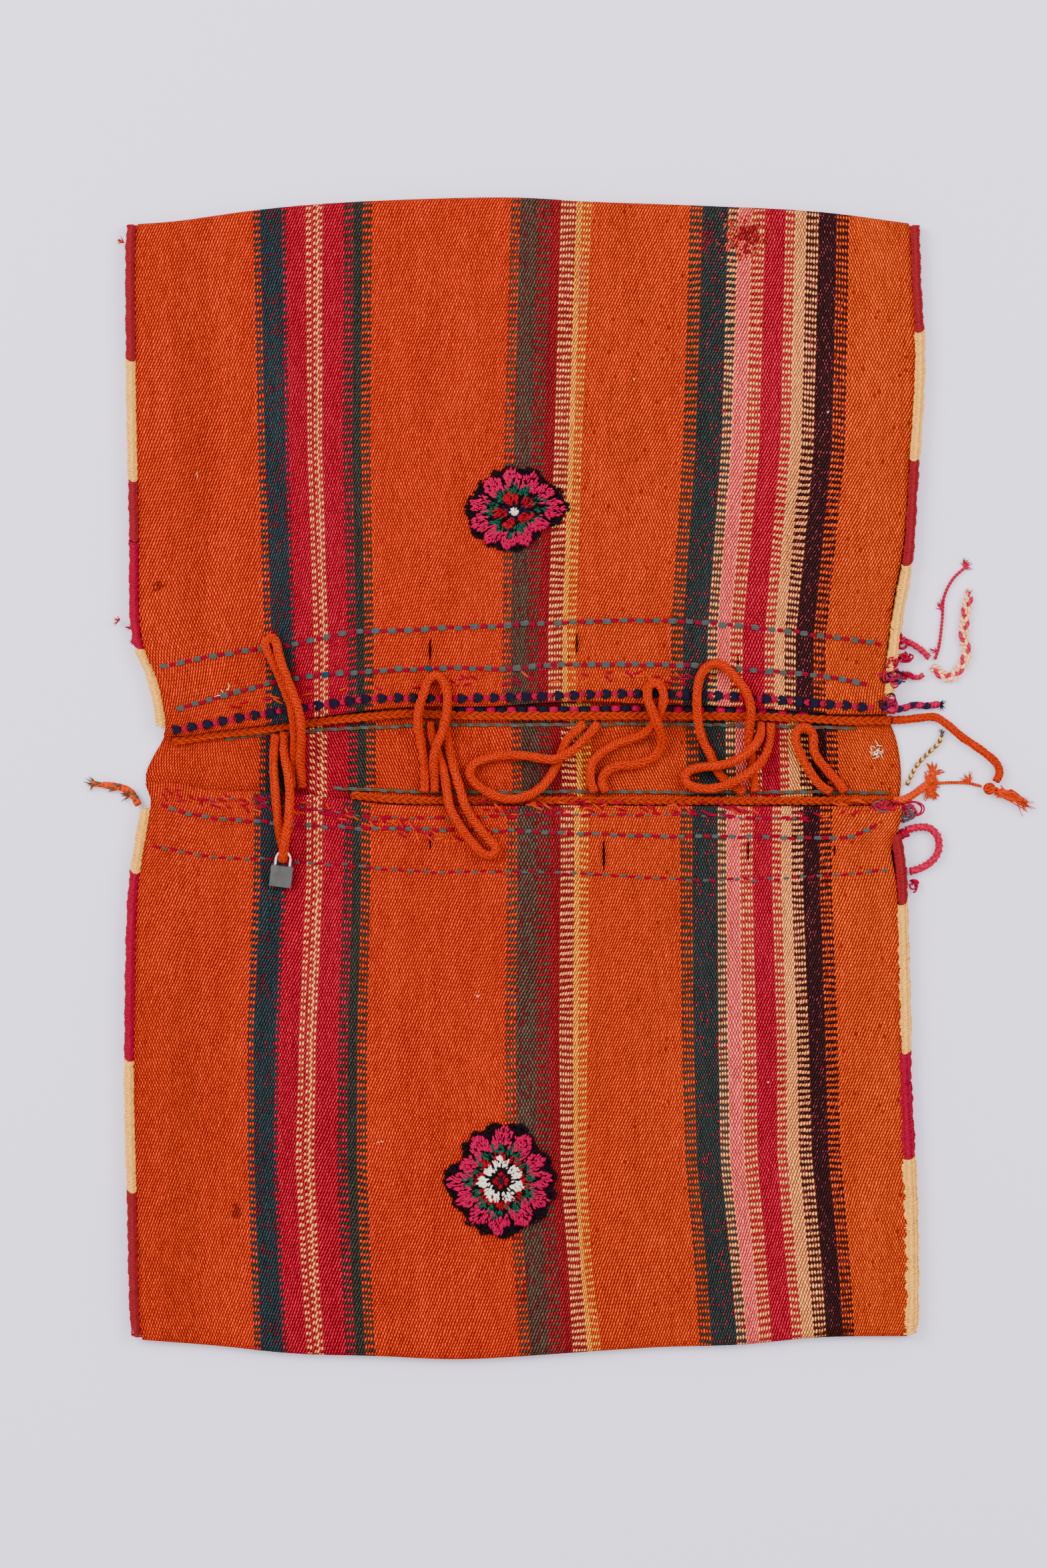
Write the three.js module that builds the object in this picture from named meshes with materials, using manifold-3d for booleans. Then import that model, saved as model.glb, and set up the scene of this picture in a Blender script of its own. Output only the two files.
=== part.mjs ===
// Kilim saddle bag lying flat on its back panel.
// One woven strip is folded in at both ends, so that two pockets face each other across a bridge.
// Units are millimetres, +Z up from the floor, +Y towards the upper pocket's fold.

import * as THREE from "three";
import { mergeVertices } from "three/addons/utils/BufferGeometryUtils.js";
import Module from "manifold-3d";

const wasm = await Module();
wasm.setup();

// ---- driving dimensions -------------------------------------------------------------------

const CLEARANCE = 0.3; // air between pieces that touch
const CLOTH = 2.4; // thickness of the woven cloth
const POCKET_GAP = 6.6; // height inside a pocket as it lies
const FLAP_BOTTOM = CLOTH + POCKET_GAP;
const FLAP_TOP = FLAP_BOTTOM + CLOTH;
const FOLD_RADIUS = FLAP_TOP / 2; // outside of the rounded fold
const STITCH = 0.9; // height of a row of stitches
const BRAID_RADIUS = 3.6; // orange round braid of the loops
const BINDING_RADIUS = 3.6; // wrapped yarn along the sides
const BRIDGE_LEVEL = CLOTH + CLEARANCE + STITCH + CLEARANCE + BRAID_RADIUS;
const FLAP_LEVEL = FLAP_TOP + CLEARANCE + STITCH + CLEARANCE + BRAID_RADIUS;

// Outline of the cloth: each edge as [along, across] stations joined by a smooth curve.
const LEFT_EDGE = [
  [-466, -315], [-448, -317], [-350, -319.5], [-250, -321.8], [-118, -320], [-85, -318], [-52, -313],
  [-24, -308.5], [-15, -308.5], [-6, -312.5], [4, -313], [18, -307], [32, -299], [42, -296], [80, -302.5],
  [113, -315],
  [212, -318], [344, -320.5], [452, -320], [462, -318],
];
const RIGHT_EDGE = [
  [-464, 315], [-448, 317], [-349, 316.5], [-250, 311.5], [-151, 309], [-68, 305.5], [-48, 302],
  [-38, 302], [-22, 308.5], [0, 311], [30, 307], [48, 300], [60, 296], [68, 296], [130, 303], [179, 311.5],
  [245, 316], [344, 321.7], [409, 318.5], [452, 317], [462, 316],
];
const TOP_EDGE = [
  [-322, 457.5], [-289, 460], [-223, 469], [-157, 475], [-14, 479.6], [57, 476], [140, 473], [239, 468],
  [322, 458],
];
const BOTTOM_EDGE = [
  [-322, -463.5], [-256, -468.5], [-190, -475], [-124, -477], [-58, -479.6], [41, -473.5], [107, -469.5],
  [173, -467.5], [239, -461.5], [322, -460.5],
];
const UPPER_MOUTH = [
  [-300, 35], [-247, 41.5], [-212, 45], [-181, 50], [-129, 56], [-94, 59], [-19, 59.5], [12, 61.5],
  [60, 63.5], [125, 61], [188, 59], [236, 56], [273, 53], [305, 53],
];
const LOWER_MOUTH = [
  [-315, -4], [-300, -3], [-267, -9], [-212, -11.5], [-143, -17.5], [-115, -21.5], [-87, -22.5],
  [40, -22.5], [167, -23], [273, -23], [310, -22.5],
];

const SLIT_WIDTH = 1.5;
const SLITS = [ // [x, lowest y, highest y] of the slits woven into the flaps
  [-77.5, 97, 115], [45.5, 98.5, 119], [176, 91.5, 105.5],
  [-75, -57, -46], [64, -78.5, -50.5], [182.5, -69, -50.5], [252.5, -63, -53.5],
];

// ---- colours ------------------------------------------------------------------------------

const ORANGE = "#d2511c";
const BRAID_ORANGE = "#e8430f";
const CREAM = "#ecc08a";
const DARK_RED = "#8f2226";
const CRIMSON = "#c01f3a";
const PINK = "#e2285f";
const NAVY = "#2a2548";
const GREY = "#6f6e70";
const BROWN = "#7a5236";
const BLACK = "#1d1520";
const STEEL = "#8d8b8a";

function wool(color) {
  return new THREE.MeshStandardMaterial({ color, roughness: 0.95, metalness: 0 });
}

function metal(color) {
  return new THREE.MeshStandardMaterial({ color, roughness: 0.4, metalness: 1 });
}

// ---- shared geometry helpers --------------------------------------------------------------

const bag = new THREE.Group();

function addPiece(name, geometry, material, parent = bag) {
  const mesh = new THREE.Mesh(geometry, material);
  mesh.name = name;
  parent.add(mesh);
  return mesh;
}

function smoothCurve(points) {
  const vectors = points.map(([x, y, z = 0]) => new THREE.Vector3(x, y, z));
  return new THREE.CatmullRomCurve3(vectors, false, "centripetal");
}

// Reads an outline station list as a function of its first number.
function edgeFunction(stations) {
  const last = stations.length - 2;
  return (t) => {
    const found = stations.findIndex(([from]) => from > t) - 1;
    const i = found < 0 ? (t < stations[0][0] ? 0 : last) : found;
    const [t0, a] = stations[i];
    const [t1, b] = stations[i + 1];
    const u = THREE.MathUtils.clamp((t - t0) / (t1 - t0), 0, 1);
    return THREE.MathUtils.lerp(a, b, u * u * (3 - 2 * u) * 0.5 + u * 0.5);
  };
}

function circleShape(radius, sides) {
  const shape = new THREE.Shape();
  for (let i = 0; i < sides; i += 1) {
    const angle = (2 * Math.PI * i) / sides;
    shape[i === 0 ? "moveTo" : "lineTo"](radius * Math.cos(angle), radius * Math.sin(angle));
  }
  shape.closePath();
  return shape;
}

function tube(points, radius, steps, sides = 8) {
  const settings = { extrudePath: smoothCurve(points), steps, bevelEnabled: false };
  return new THREE.ExtrudeGeometry(circleShape(radius, sides), settings);
}

// A flat ribbon of the given width, lying level from zLow to zLow + height.
function ribbon(points, width, zLow, height, steps) {
  const curve = smoothCurve(points);
  const near = [];
  const far = [];
  for (let i = 0; i <= steps; i += 1) {
    const p = curve.getPointAt(i / steps);
    const t = curve.getTangentAt(i / steps);
    near.push(new THREE.Vector2(p.x + (t.y * width) / 2, p.y - (t.x * width) / 2));
    far.unshift(new THREE.Vector2(p.x - (t.y * width) / 2, p.y + (t.x * width) / 2));
  }
  const outline = new THREE.Shape([...near, ...far]);
  const geometry = new THREE.ExtrudeGeometry(outline, { depth: height, bevelEnabled: false });
  return geometry.translate(0, 0, zLow);
}

function toSolid(geometry) {
  const plain = geometry.clone();
  plain.deleteAttribute("normal");
  plain.deleteAttribute("uv");
  const merged = mergeVertices(plain, 1e-4);
  const vertProperties = Float32Array.from(merged.attributes.position.array);
  const triVerts = Uint32Array.from(merged.index.array);
  return new wasm.Manifold(new wasm.Mesh({ numProp: 3, vertProperties, triVerts }));
}

function toGeometry(solid) {
  const { vertProperties, triVerts } = solid.getMesh();
  const geometry = new THREE.BufferGeometry();
  geometry.setAttribute("position", new THREE.BufferAttribute(Float32Array.from(vertProperties), 3));
  geometry.setIndex(new THREE.BufferAttribute(Uint32Array.from(triVerts), 1));
  return geometry;
}

// ---- the woven strip ----------------------------------------------------------------------

const leftEdge = edgeFunction(LEFT_EDGE);
const rightEdge = edgeFunction(RIGHT_EDGE);
const topEdge = edgeFunction(TOP_EDGE);
const bottomEdge = edgeFunction(BOTTOM_EDGE);
const upperMouth = edgeFunction(UPPER_MOUTH);
const lowerMouth = edgeFunction(LOWER_MOUTH);

const COLUMNS = 12;
const FOLD_STEPS = 4;
const LEVELS = [ // where the outline bends: rows of the mesh across the back and the flaps
  440, 409, 344, 270, 212, 165, 130, 113, 96, 80, 68, 60, 50, 42, 32, 18, 4, -6, -15, -24, -38, -52, -68,
  -85, -118, -180, -250, -350, -440,
];
const UPPER_FLAP_LEVELS = LEVELS.filter((y) => y > 65).reverse();
const LOWER_FLAP_LEVELS = LEVELS.filter((y) => y < -23).reverse();

// One lengthwise section of the strip at nominal x: [y, z] pairs for its outer and its inner face.
function stripSection(x) {
  const centreLine = [{ y: upperMouth(x), angle: 90 }];
  const addLevels = (levels, angle) => levels.forEach((y) => centreLine.push({ y, angle }));
  const addFold = (y, from) => {
    for (let i = 0; i <= FOLD_STEPS; i += 1) {
      centreLine.push({ y, angle: from - (180 * i) / FOLD_STEPS });
    }
  };
  addLevels(UPPER_FLAP_LEVELS, 90);
  addFold(topEdge(x) - FOLD_RADIUS, 90);
  addLevels(LEVELS, -90);
  addFold(bottomEdge(x) + FOLD_RADIUS, -90);
  addLevels(LOWER_FLAP_LEVELS, -270);
  centreLine.push({ y: lowerMouth(x), angle: -270 });
  const offset = ({ y, angle }, radius) => {
    const a = THREE.MathUtils.degToRad(angle);
    return [y + radius * Math.cos(a), FOLD_RADIUS + radius * Math.sin(a)];
  };
  return {
    outer: centreLine.map((station) => offset(station, FOLD_RADIUS)),
    inner: centreLine.map((station) => offset(station, FOLD_RADIUS - CLOTH)),
  };
}

function foldedCloth() {
  const positions = [];
  const sections = [];
  for (let column = 0; column <= COLUMNS; column += 1) {
    const across = column / COLUMNS;
    sections.push(stripSection(THREE.MathUtils.lerp(-310, 310, across)));
    for (const face of ["outer", "inner"]) {
      for (const [y, z] of sections[column][face]) {
        positions.push(THREE.MathUtils.lerp(leftEdge(y), rightEdge(y), across), y, z);
      }
    }
  }
  const rows = sections[0].outer.length;
  const at = (column, face, row) => (column * 2 + face) * rows + row;
  const index = [];
  const quad = (a, b, c, d) => index.push(a, b, c, a, c, d);
  for (let column = 0; column < COLUMNS; column += 1) {
    for (let row = 0; row < rows - 1; row += 1) {
      quad(at(column, 0, row), at(column + 1, 0, row), at(column + 1, 0, row + 1), at(column, 0, row + 1));
      quad(at(column, 1, row + 1), at(column + 1, 1, row + 1), at(column + 1, 1, row), at(column, 1, row));
    }
    quad(at(column, 1, 0), at(column + 1, 1, 0), at(column + 1, 0, 0), at(column, 0, 0));
    const end = rows - 1;
    quad(at(column, 0, end), at(column + 1, 0, end), at(column + 1, 1, end), at(column, 1, end));
  }
  for (let row = 0; row < rows - 1; row += 1) {
    quad(at(0, 0, row), at(0, 0, row + 1), at(0, 1, row + 1), at(0, 1, row));
    quad(at(COLUMNS, 1, row), at(COLUMNS, 1, row + 1), at(COLUMNS, 0, row + 1), at(COLUMNS, 0, row));
  }
  const geometry = new THREE.BufferGeometry();
  geometry.setAttribute("position", new THREE.Float32BufferAttribute(positions, 3));
  geometry.setIndex(index);
  return geometry;
}

function buildWovenStrip() {
  let cloth = toSolid(foldedCloth());
  const cutHeight = CLOTH + 2;
  for (const [x, low, high] of SLITS) {
    const cutter = new THREE.BoxGeometry(SLIT_WIDTH, high - low, cutHeight);
    cutter.translate(x, (low + high) / 2, FLAP_BOTTOM + CLOTH / 2);
    cloth = cloth.subtract(toSolid(cutter));
  }
  addPiece("woven_strip", toGeometry(cloth), wool(ORANGE));
}

// ---- wrapped bindings along the sides -----------------------------------------------------

const LEFT_BINDINGS = [ // name, colour, lowest y, highest y
  ["left_binding_upper_red", DARK_RED, 342, 456],
  ["left_binding_upper_cream", CREAM, 243, 342],
  ["left_binding_upper_red_short", DARK_RED, 193, 243],
  ["left_binding_upper_crimson", CRIMSON, 105, 193],
  ["left_binding_mouth_cream", CREAM, 42, 105],
  ["left_binding_lower_cream", CREAM, -80, -25],
  ["left_binding_lower_crimson", CRIMSON, -235, -80],
  ["left_binding_lower_cream_long", CREAM, -343, -235],
  ["left_binding_lower_red", DARK_RED, -461, -343],
];
const RIGHT_BINDINGS = [
  ["right_binding_upper_red", DARK_RED, 366, 456],
  ["right_binding_upper_cream", CREAM, 260, 366],
  ["right_binding_upper_red_lower", DARK_RED, 174, 260],
  ["right_binding_upper_cream_short", CREAM, 121, 174],
  ["right_binding_mouth_cream", CREAM, 66, 121],
  ["right_binding_lower_red", DARK_RED, -106, -46],
  ["right_binding_lower_cream", CREAM, -229, -106],
  ["right_binding_lower_crimson", CRIMSON, -315, -229],
  ["right_binding_lower_cream_long", CREAM, -459, -315],
];
const BINDING_STEP = 26; // longest straight stretch of a binding
const BINDING_SIDE_GAP = 0.8; // from the edge of the cloth to the yarn
const BINDING_END_GAP = 0.7; // where one colour of yarn ends and the next begins

function buildBindings(bindings, edge, side) {
  const outward = side * (BINDING_SIDE_GAP + BINDING_RADIUS);
  for (const [name, color, low, high] of bindings) {
    const steps = Math.max(3, Math.ceil((high - low) / BINDING_STEP));
    const points = [];
    for (let i = 0; i <= steps; i += 1) {
      const y = THREE.MathUtils.lerp(low + BINDING_END_GAP, high - BINDING_END_GAP, i / steps);
      points.push([edge(y) + outward, y, FOLD_RADIUS]);
    }
    addPiece(name, tube(points, BINDING_RADIUS, steps), wool(color));
  }
}

// ---- rows of stitches ---------------------------------------------------------------------

const STITCH_ROWS = [ // name, colour, width, surface height, route
  ["upper_flap_row_top", GREY, 4.6, FLAP_TOP, [
    [-300, 92], [-242, 103.5], [-198, 109], [-144, 120], [-113, 122], [-28, 125.5], [47, 129], [113, 130],
    [165, 126.5], [234, 119], [285, 111.5], [296, 109]]],
  ["upper_flap_row_middle", GREY, 4.6, FLAP_TOP, [
    [-286, 57], [-252, 67], [-210, 78], [-181, 83.5], [-128, 88], [-54, 91], [-16, 90], [20, 93], [111, 93.5],
    [143, 93], [188, 89], [257, 82.5], [283, 76.5]]],
  ["upper_flap_chevron_row", NAVY, 5.6, FLAP_TOP, [
    [-290, 39.5], [-272, 42.5], [-230, 50.5], [-177, 59], [-124, 65.5], [-49, 66], [15, 67.5], [67, 69.5],
    [125, 69.5], [190, 66], [241, 62], [280, 58.5], [291, 58]]],
  ["upper_bridge_twining", BROWN, 2.2, CLOTH, [
    [-247, 33], [-214, 36.5], [-130, 42], [-66, 44], [-17, 44], [71, 44.5], [130, 44.5], [276, 41.5]]],
  ["lower_bridge_twining", BROWN, 2.2, CLOTH, [
    [-157, -8.6], [-125, -9.5], [-94, -11], [-22, -11.5], [50, -11], [125, -11.5], [237, -11.5], [302, -12]]],
  ["lower_flap_row_top", CRIMSON, 2.4, FLAP_TOP, [
    [-268, -17], [-221, -19], [-131, -31], [-66, -33], [21, -29], [61, -30.5], [132, -29.5], [195, -33],
    [237, -32]]],
  ["lower_flap_row_middle", CRIMSON, 2.6, FLAP_TOP, [
    [-300, -22], [-268, -31], [-210, -36.5], [-152, -40.5], [-94, -42], [-59, -43], [-22, -43], [39, -45.5],
    [119, -48], [192, -48], [237, -49], [271, -47.5], [289, -40]]],
  ["lower_flap_row_bottom", CRIMSON, 2, FLAP_TOP, [
    [-306, -56], [-264, -64], [-213, -67], [-149, -71.5], [-87, -76.5], [4, -77], [92, -81], [133, -83.5],
    [216, -82], [265, -79], [298, -75.5]]],
];
const ROW_STEPS = 16;

function buildStitchRows() {
  for (const [name, color, width, surface, route] of STITCH_ROWS) {
    addPiece(name, ribbon(route, width, surface + CLEARANCE, STITCH, ROW_STEPS), wool(color));
  }
}

// ---- base cords sewn along both mouths ----------------------------------------------------

const UPPER_BASE_RADIUS = 3.4;
const LOWER_BASE_RADIUS = 3.1;
const UPPER_BASE_LEVEL = CLOTH + CLEARANCE + UPPER_BASE_RADIUS;
const LOWER_BASE_LEVEL = CLOTH + CLEARANCE + LOWER_BASE_RADIUS;
const UPPER_BASE = [
  [-290, 30.5], [-247, 37], [-212, 40.5], [-181, 45.5], [-129, 51], [-94, 53.5], [-59, 52], [39, 51.5],
  [125, 51.5], [209, 50.5], [273, 47.5], [302.5, 48],
];
const LOWER_BASE = [
  [-143, -14], [-115, -17], [-87, -18.3], [-38, -18.5], [61, -18.5], [167, -18.7], [248, -18.7], [303, -18.5],
];
const BASE_STEPS = 26;

function buildBaseCords() {
  const upper = UPPER_BASE.map(([x, y]) => [x, y, UPPER_BASE_LEVEL]);
  const lower = LOWER_BASE.map(([x, y]) => [x, y, LOWER_BASE_LEVEL]);
  addPiece("upper_base_cord", tube(upper, UPPER_BASE_RADIUS, BASE_STEPS), wool(BRAID_ORANGE));
  addPiece("lower_base_cord", tube(lower, LOWER_BASE_RADIUS, BASE_STEPS), wool(BRAID_ORANGE));
}

// ---- braided closing loops ----------------------------------------------------------------

// Heights in the routes are above the bridge or flap level: B lies on the bridge, F on a flap.
const B = BRIDGE_LEVEL;
const F = FLAP_LEVEL;
const OVER = 2 * BRAID_RADIUS + 0.6; // rise of a braid that crosses another

const LOOPS = [
  ["closing_loop_far_left", 34, [
    [-192.4, -7.5, B], [-192, 6, B], [-190.4, 18.5, B + 0.5], [-189.5, 30, B + 4], [-189.8, 43, B + 7.5],
    [-192, 58, F + 0.4], [-196.8, 71.5, F], [-201.8, 84, F], [-206.5, 95, F], [-211.5, 105, F], [-212.8, 112, F],
    [-208.3, 115.6, F + 0.4], [-204.4, 111.5, F + 2], [-202.8, 104, F + 3.6], [-199.4, 93, F + 5], [-194.5, 80, F + 5.8],
    [-189, 66, F + 7], [-184.8, 52, F + OVER], [-183.7, 40, F + OVER - 1], [-184, 28, B + OVER + 4], [-185, 16, B + 6.5],
    [-184.6, 4, B + 2.5], [-184, -7.5, B]]],
  ["padlock_loop", 44, [
    [-205.5, 36, B], [-206.8, 25, B], [-207, 8, B + 1], [-206, -4, F - 3], [-205, -14, F], [-203.5, -29, F],
    [-201.4, -45.5, F], [-199, -56, F], [-197.8, -61, F - 0.2], [-198.3, -64.9, F + 1.5], [-198.5, -66.4, 21.9],
    [-198.3, -64.9, 25.8], [-197.8, -61, 27.4], [-197.2, -57, 28.4], [-196.5, -53, 29.3], [-195.5, -46, 28.4],
    [-194.2, -38, 26.3], [-193.4, -29, 24], [-193, -13, 19.5], [-194, -2, 17.8], [-195.6, 8, 14.4],
    [-198.2, 20, B + 2], [-198.4, 30, B], [-198.2, 38, B]]],
  ["closing_loop_left_arch", 30, [
    [-82.5, -11.2, B], [-82.3, 2, B], [-83, 14, B], [-85, 27, B + 1], [-87.5, 40, B + 5], [-88, 49, B + 7.5],
    [-86.5, 60, F], [-83, 70, F], [-80, 79.5, F], [-73.5, 84.5, F], [-67, 79.5, F], [-64, 70, F],
    [-63.8, 60, F], [-65.5, 48, F - 0.5], [-69, 36, B + OVER + 0.5], [-73, 25.5, B + OVER],
    [-75.3, 14, B + 5.6], [-74.6, 2, B + 1], [-73.8, -11.2, B]]],
  ["closing_loop_left_pair", 34, [
    [-78, 46.5, B], [-77, 37.5, B], [-73, 24, B], [-68.6, 11, B], [-65.8, 0, B + 2], [-64, -12, B + 6.2],
    [-61.5, -24, F], [-56, -35, F], [-48, -47, F], [-40, -56.5, F], [-33.5, -62.5, F], [-26, -63, F],
    [-24, -57, F], [-29, -50.5, F], [-36.5, -42, F], [-44.5, -31, F], [-49.8, -21, F - 0.4],
    [-52.5, -12, B + 6.2], [-55.8, -1, B + 2.5], [-59, 10, B], [-61.8, 22, B], [-64.3, 34, B], [-66, 46.5, B]]],
  ["closing_loop_middle_left", 34, [
    [49, 45.5, B], [43, 40, B], [36, 33, B], [31, 23.5, B], [27.5, 14, B], [22.5, 4, B + 1], [15.5, -5.5, B + 3.5],
    [6, -12.5, B + 6], [-5.5, -16.5, B + 7], [-17, -16.5, B + 7], [-28.5, -12.5, B + 6], [-38, -6.5, B + 3],
    [-44, 0, B + 0.5], [-45.5, 6, B], [-42, 11.5, B], [-33.5, 15.5, B], [-23, 18, B], [-11.5, 19, B],
    [1, 18.5, B + 1.5], [12.5, 16.5, B + 5], [24, 15.5, B + OVER], [34, 19.5, B + 6.5], [43, 26, B + 2.5],
    [51, 34, B], [57, 41, B], [60.5, 45.5, B]]],
  ["closing_loop_middle", 38, [
    [58, -11.2, B], [54.8, -4.5, B], [54, 4, B], [55.5, 12, B], [61.5, 19.5, B], [70, 25.5, B], [78.5, 29.5, B],
    [88, 32.5, B], [97, 36, B + 1.5], [104, 42, B + 5], [109.5, 51, B + 7.6], [113, 59.5, F], [114.2, 68, F],
    [111.5, 76, F], [106, 78.5, F], [101.5, 74.5, F], [101, 66, F + 2], [103.5, 58, F + 5],
    [107, 49.5, F + 6], [110.8, 40.5, B + 10.5], [113, 32, B + 4], [111.5, 24, B + 0.5], [106, 17.5, B],
    [98, 13.5, B], [88, 11, B], [78.5, 10.5, B], [70.5, 7.5, B], [65.3, 3, B], [64, -4, B], [67, -11.2, B]]],
  ["closing_loop_right_arch", 34, [
    [181, -11, B], [174, -7.5, B], [164, -0.5, B], [158.3, 7, B], [153.5, 18.5, B], [148, 29, B + 1],
    [144, 40, B + 5], [142, 52, B + 8], [141.5, 63, F], [142, 73, F], [144, 83, F], [149, 91, F], [155.5, 94, F],
    [162.5, 93, F], [169, 87.5, F], [176, 79.5, F], [182.5, 70, F], [185.5, 60, F], [186, 51, F - 1],
    [185, 43, B + 5.5], [184.5, 34, B + 1.5], [186, 25, B], [187.5, 14, B], [188.5, 2, B], [190, -11, B]]],
  ["closing_loop_right_crossed", 34, [
    [194.3, 45.5, B], [194.3, 37, B + 3], [191.5, 30, B + 6], [187, 24.5, B + OVER], [180, 18.5, B + OVER],
    [170.5, 13.5, B + OVER], [159.5, 10.5, B + OVER], [148.5, 9.5, B + 5], [138.5, 7.5, B + 1.5], [132.5, 3, B],
    [132.5, -2, B + 0.5], [138, -6.5, B + 2], [147, -8.5, B + 4.5], [157, -8, B + 6.8], [168, -4.5, B + OVER],
    [177.5, 0, B + OVER], [187, 6.5, B + OVER], [195, 14, B + 5], [199.5, 23, B + 1.5], [202, 34, B],
    [202.8, 45.5, B]]],
  ["closing_loop_far_right", 24, [
    [252.5, -11.2, B], [243.5, -5.5, B], [236.5, 3.5, B], [231, 12, B], [226.5, 22, B], [223.5, 31, B],
    [224, 38, B], [229, 42, B], [235, 40.5, B], [238.2, 34, B], [238, 26, B], [240.5, 18, B], [246.5, 10, B],
    [252.5, 3, B], [259, -4, B], [264, -11.2, B]]],
];

function buildLoops() {
  for (const [name, steps, route] of LOOPS) {
    addPiece(name, tube(route, BRAID_RADIUS, steps), wool(BRAID_ORANGE));
  }
}

// ---- free ends at the side edges ----------------------------------------------------------

const FREE_ENDS = [ // name, colour, radius, steps, route
  ["upper_orange_tail", BRAID_ORANGE, 3.4, 16, [
    [303.5, 48, 6.1], [314, 48.5, 5.6], [326.5, 50, 4.2], [339, 50.5, 3.7], [350, 43.5, 3.7], [360.5, 34.5, 3.7],
    [371.5, 27, 3.7], [382.5, 19, 3.7], [390, 11.5, 3.7], [392, 4, 3.7], [389, -2.5, 3.7]]],
  ["tail_tassel", BRAID_ORANGE, 4.2, 5, [[390, -11.5, 4.5], [403.5, -15, 4.5], [414.5, -21, 4.5]]],
  ["lower_orange_tail", BRAID_ORANGE, 3.1, 6, [
    [304, -18.5, 5.9], [312, -17.6, 5.8], [319, -14.5, 4.2], [325, -10.5, 3.4], [333, -4.5, 3.4]]],
  ["thin_orange_cord", BRAID_ORANGE, 1.3, 8, [
    [336.5, -4.5, 1.6], [351, -3.5, 1.6], [366.5, -4, 1.6], [377, -6.5, 1.8]]],
  ["brown_cream_twist", BROWN, 2, 8, [
    [315.5, -5.5, 2.3], [323.5, 10, 2.3], [333, 20.5, 2.3], [342, 29.5, 2.3], [344.5, 36, 2.3]]],
  ["navy_pink_braid", NAVY, 2.5, 8, [
    [294.5, 56.8, 14.6], [303, 56.5, 15], [312, 57.8, 10], [321, 60.5, 3.5], [333, 60, 2.8], [342, 61.5, 2.8]]],
  ["red_wrapped_strap", CRIMSON, 3, 6, [[311.6, 114.5, 5.2], [319, 111.5, 3.6], [328, 105.5, 3.3], [334, 99.5, 3.3]]],
  ["red_wrapped_strap_lower", CRIMSON, 2.6, 5, [[307.5, 84.5, 5], [315, 86.5, 3.2], [323, 83, 2.9], [329.5, 85.5, 2.9]]],
  ["red_cream_braid", CREAM, 2.4, 14, [
    [337, 92.5, 2.7], [344, 86, 2.7], [351.5, 83, 2.7], [358.5, 90, 2.7], [365, 102.5, 2.7], [362.5, 116, 2.7],
    [363.5, 131.5, 2.7], [366.5, 150, 2.7]]],
  ["loose_red_yarn", CRIMSON, 1.1, 14, [
    [339, 98.5, 1.4], [342, 108, 1.4], [345, 131.5, 1.4], [346.5, 150, 1.4], [354, 165, 1.4], [363, 173.5, 1.4]]],
  ["crimson_wrapped_ring", CRIMSON, 3.6, 16, [
    [314.5, -43, 3.9], [324, -40.5, 3.9], [334, -41, 3.9], [341, -48.5, 3.9], [341.5, -60, 3.9], [335.5, -69, 3.9],
    [326, -74.5, 3.9], [318, -77, 3.9]]],
  ["left_frayed_tail", BROWN, 3.2, 8, [
    [-319.5, -21.5, 3.5], [-325, -12, 3.5], [-332, -8, 3.5], [-342.5, -6, 3.5], [-352, -5, 3.5], [-358, -4, 3.5]]],
];
const KNOT_RADIUS = 5.2;
const KNOT_CENTRE = [383.4, -8.6, KNOT_RADIUS + CLEARANCE];

function buildFreeEnds() {
  for (const [name, color, radius, steps, route] of FREE_ENDS) {
    addPiece(name, tube(route, radius, steps), wool(color));
  }
  const knot = addPiece("tail_knot", new THREE.SphereGeometry(KNOT_RADIUS, 12, 8), wool(BRAID_ORANGE));
  knot.position.set(...KNOT_CENTRE);
}

// ---- tufted rosettes ----------------------------------------------------------------------

const PILE_BASE = 2.4; // height of the black pile under a flower
const FLOWER = 3; // height of the embroidered tufts above it
const ROSETTES = [
  { name: "upper_rosette", centre: [-8.5, 219.5], flower: 0.74, outline: [
    [-42, 0], [-36, 16], [-25, 27], [-13, 35], [5, 38], [19, 33], [30, 25], [42, 13], [45, 1], [36, -10],
    [22, -17], [14, -27], [-2, -33], [-20, -29], [-35, -18]] },
  { name: "lower_rosette", centre: [-20, -331], flower: 0.76, outline: [
    [-49, -3], [-44, 9], [-34, 17], [-30, 31], [-19, 41], [-2, 47], [13, 48], [25, 39], [34, 26], [43, 14],
    [46, 0], [43, -20], [32, -33], [16, -44], [-5, -48], [-24, -39], [-37, -22]] },
];
const OUTLINE_POINTS = 30;

function outlineShape(points, scale) {
  const vectors = points.map(([x, y]) => new THREE.Vector3(x * scale, y * scale, 0));
  const curve = new THREE.CatmullRomCurve3(vectors, true, "centripetal");
  const ring = curve.getSpacedPoints(OUTLINE_POINTS).slice(0, OUTLINE_POINTS);
  return new THREE.Shape(ring.map((p) => new THREE.Vector2(p.x, p.y)));
}

function buildRosettes() {
  for (const { name, centre, flower, outline } of ROSETTES) {
    const [x, y] = centre;
    const pile = new THREE.ExtrudeGeometry(outlineShape(outline, 1), { depth: PILE_BASE, bevelEnabled: false });
    addPiece(`${name}_pile`, pile, wool(BLACK)).position.set(x, y, FLAP_TOP + CLEARANCE);
    const top = new THREE.ExtrudeGeometry(outlineShape(outline, flower), { depth: FLOWER, bevelEnabled: false });
    const level = FLAP_TOP + 2 * CLEARANCE + PILE_BASE;
    addPiece(`${name}_flower`, top, wool(PINK)).position.set(x, y, level);
  }
}

// ---- padlock ------------------------------------------------------------------------------

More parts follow.
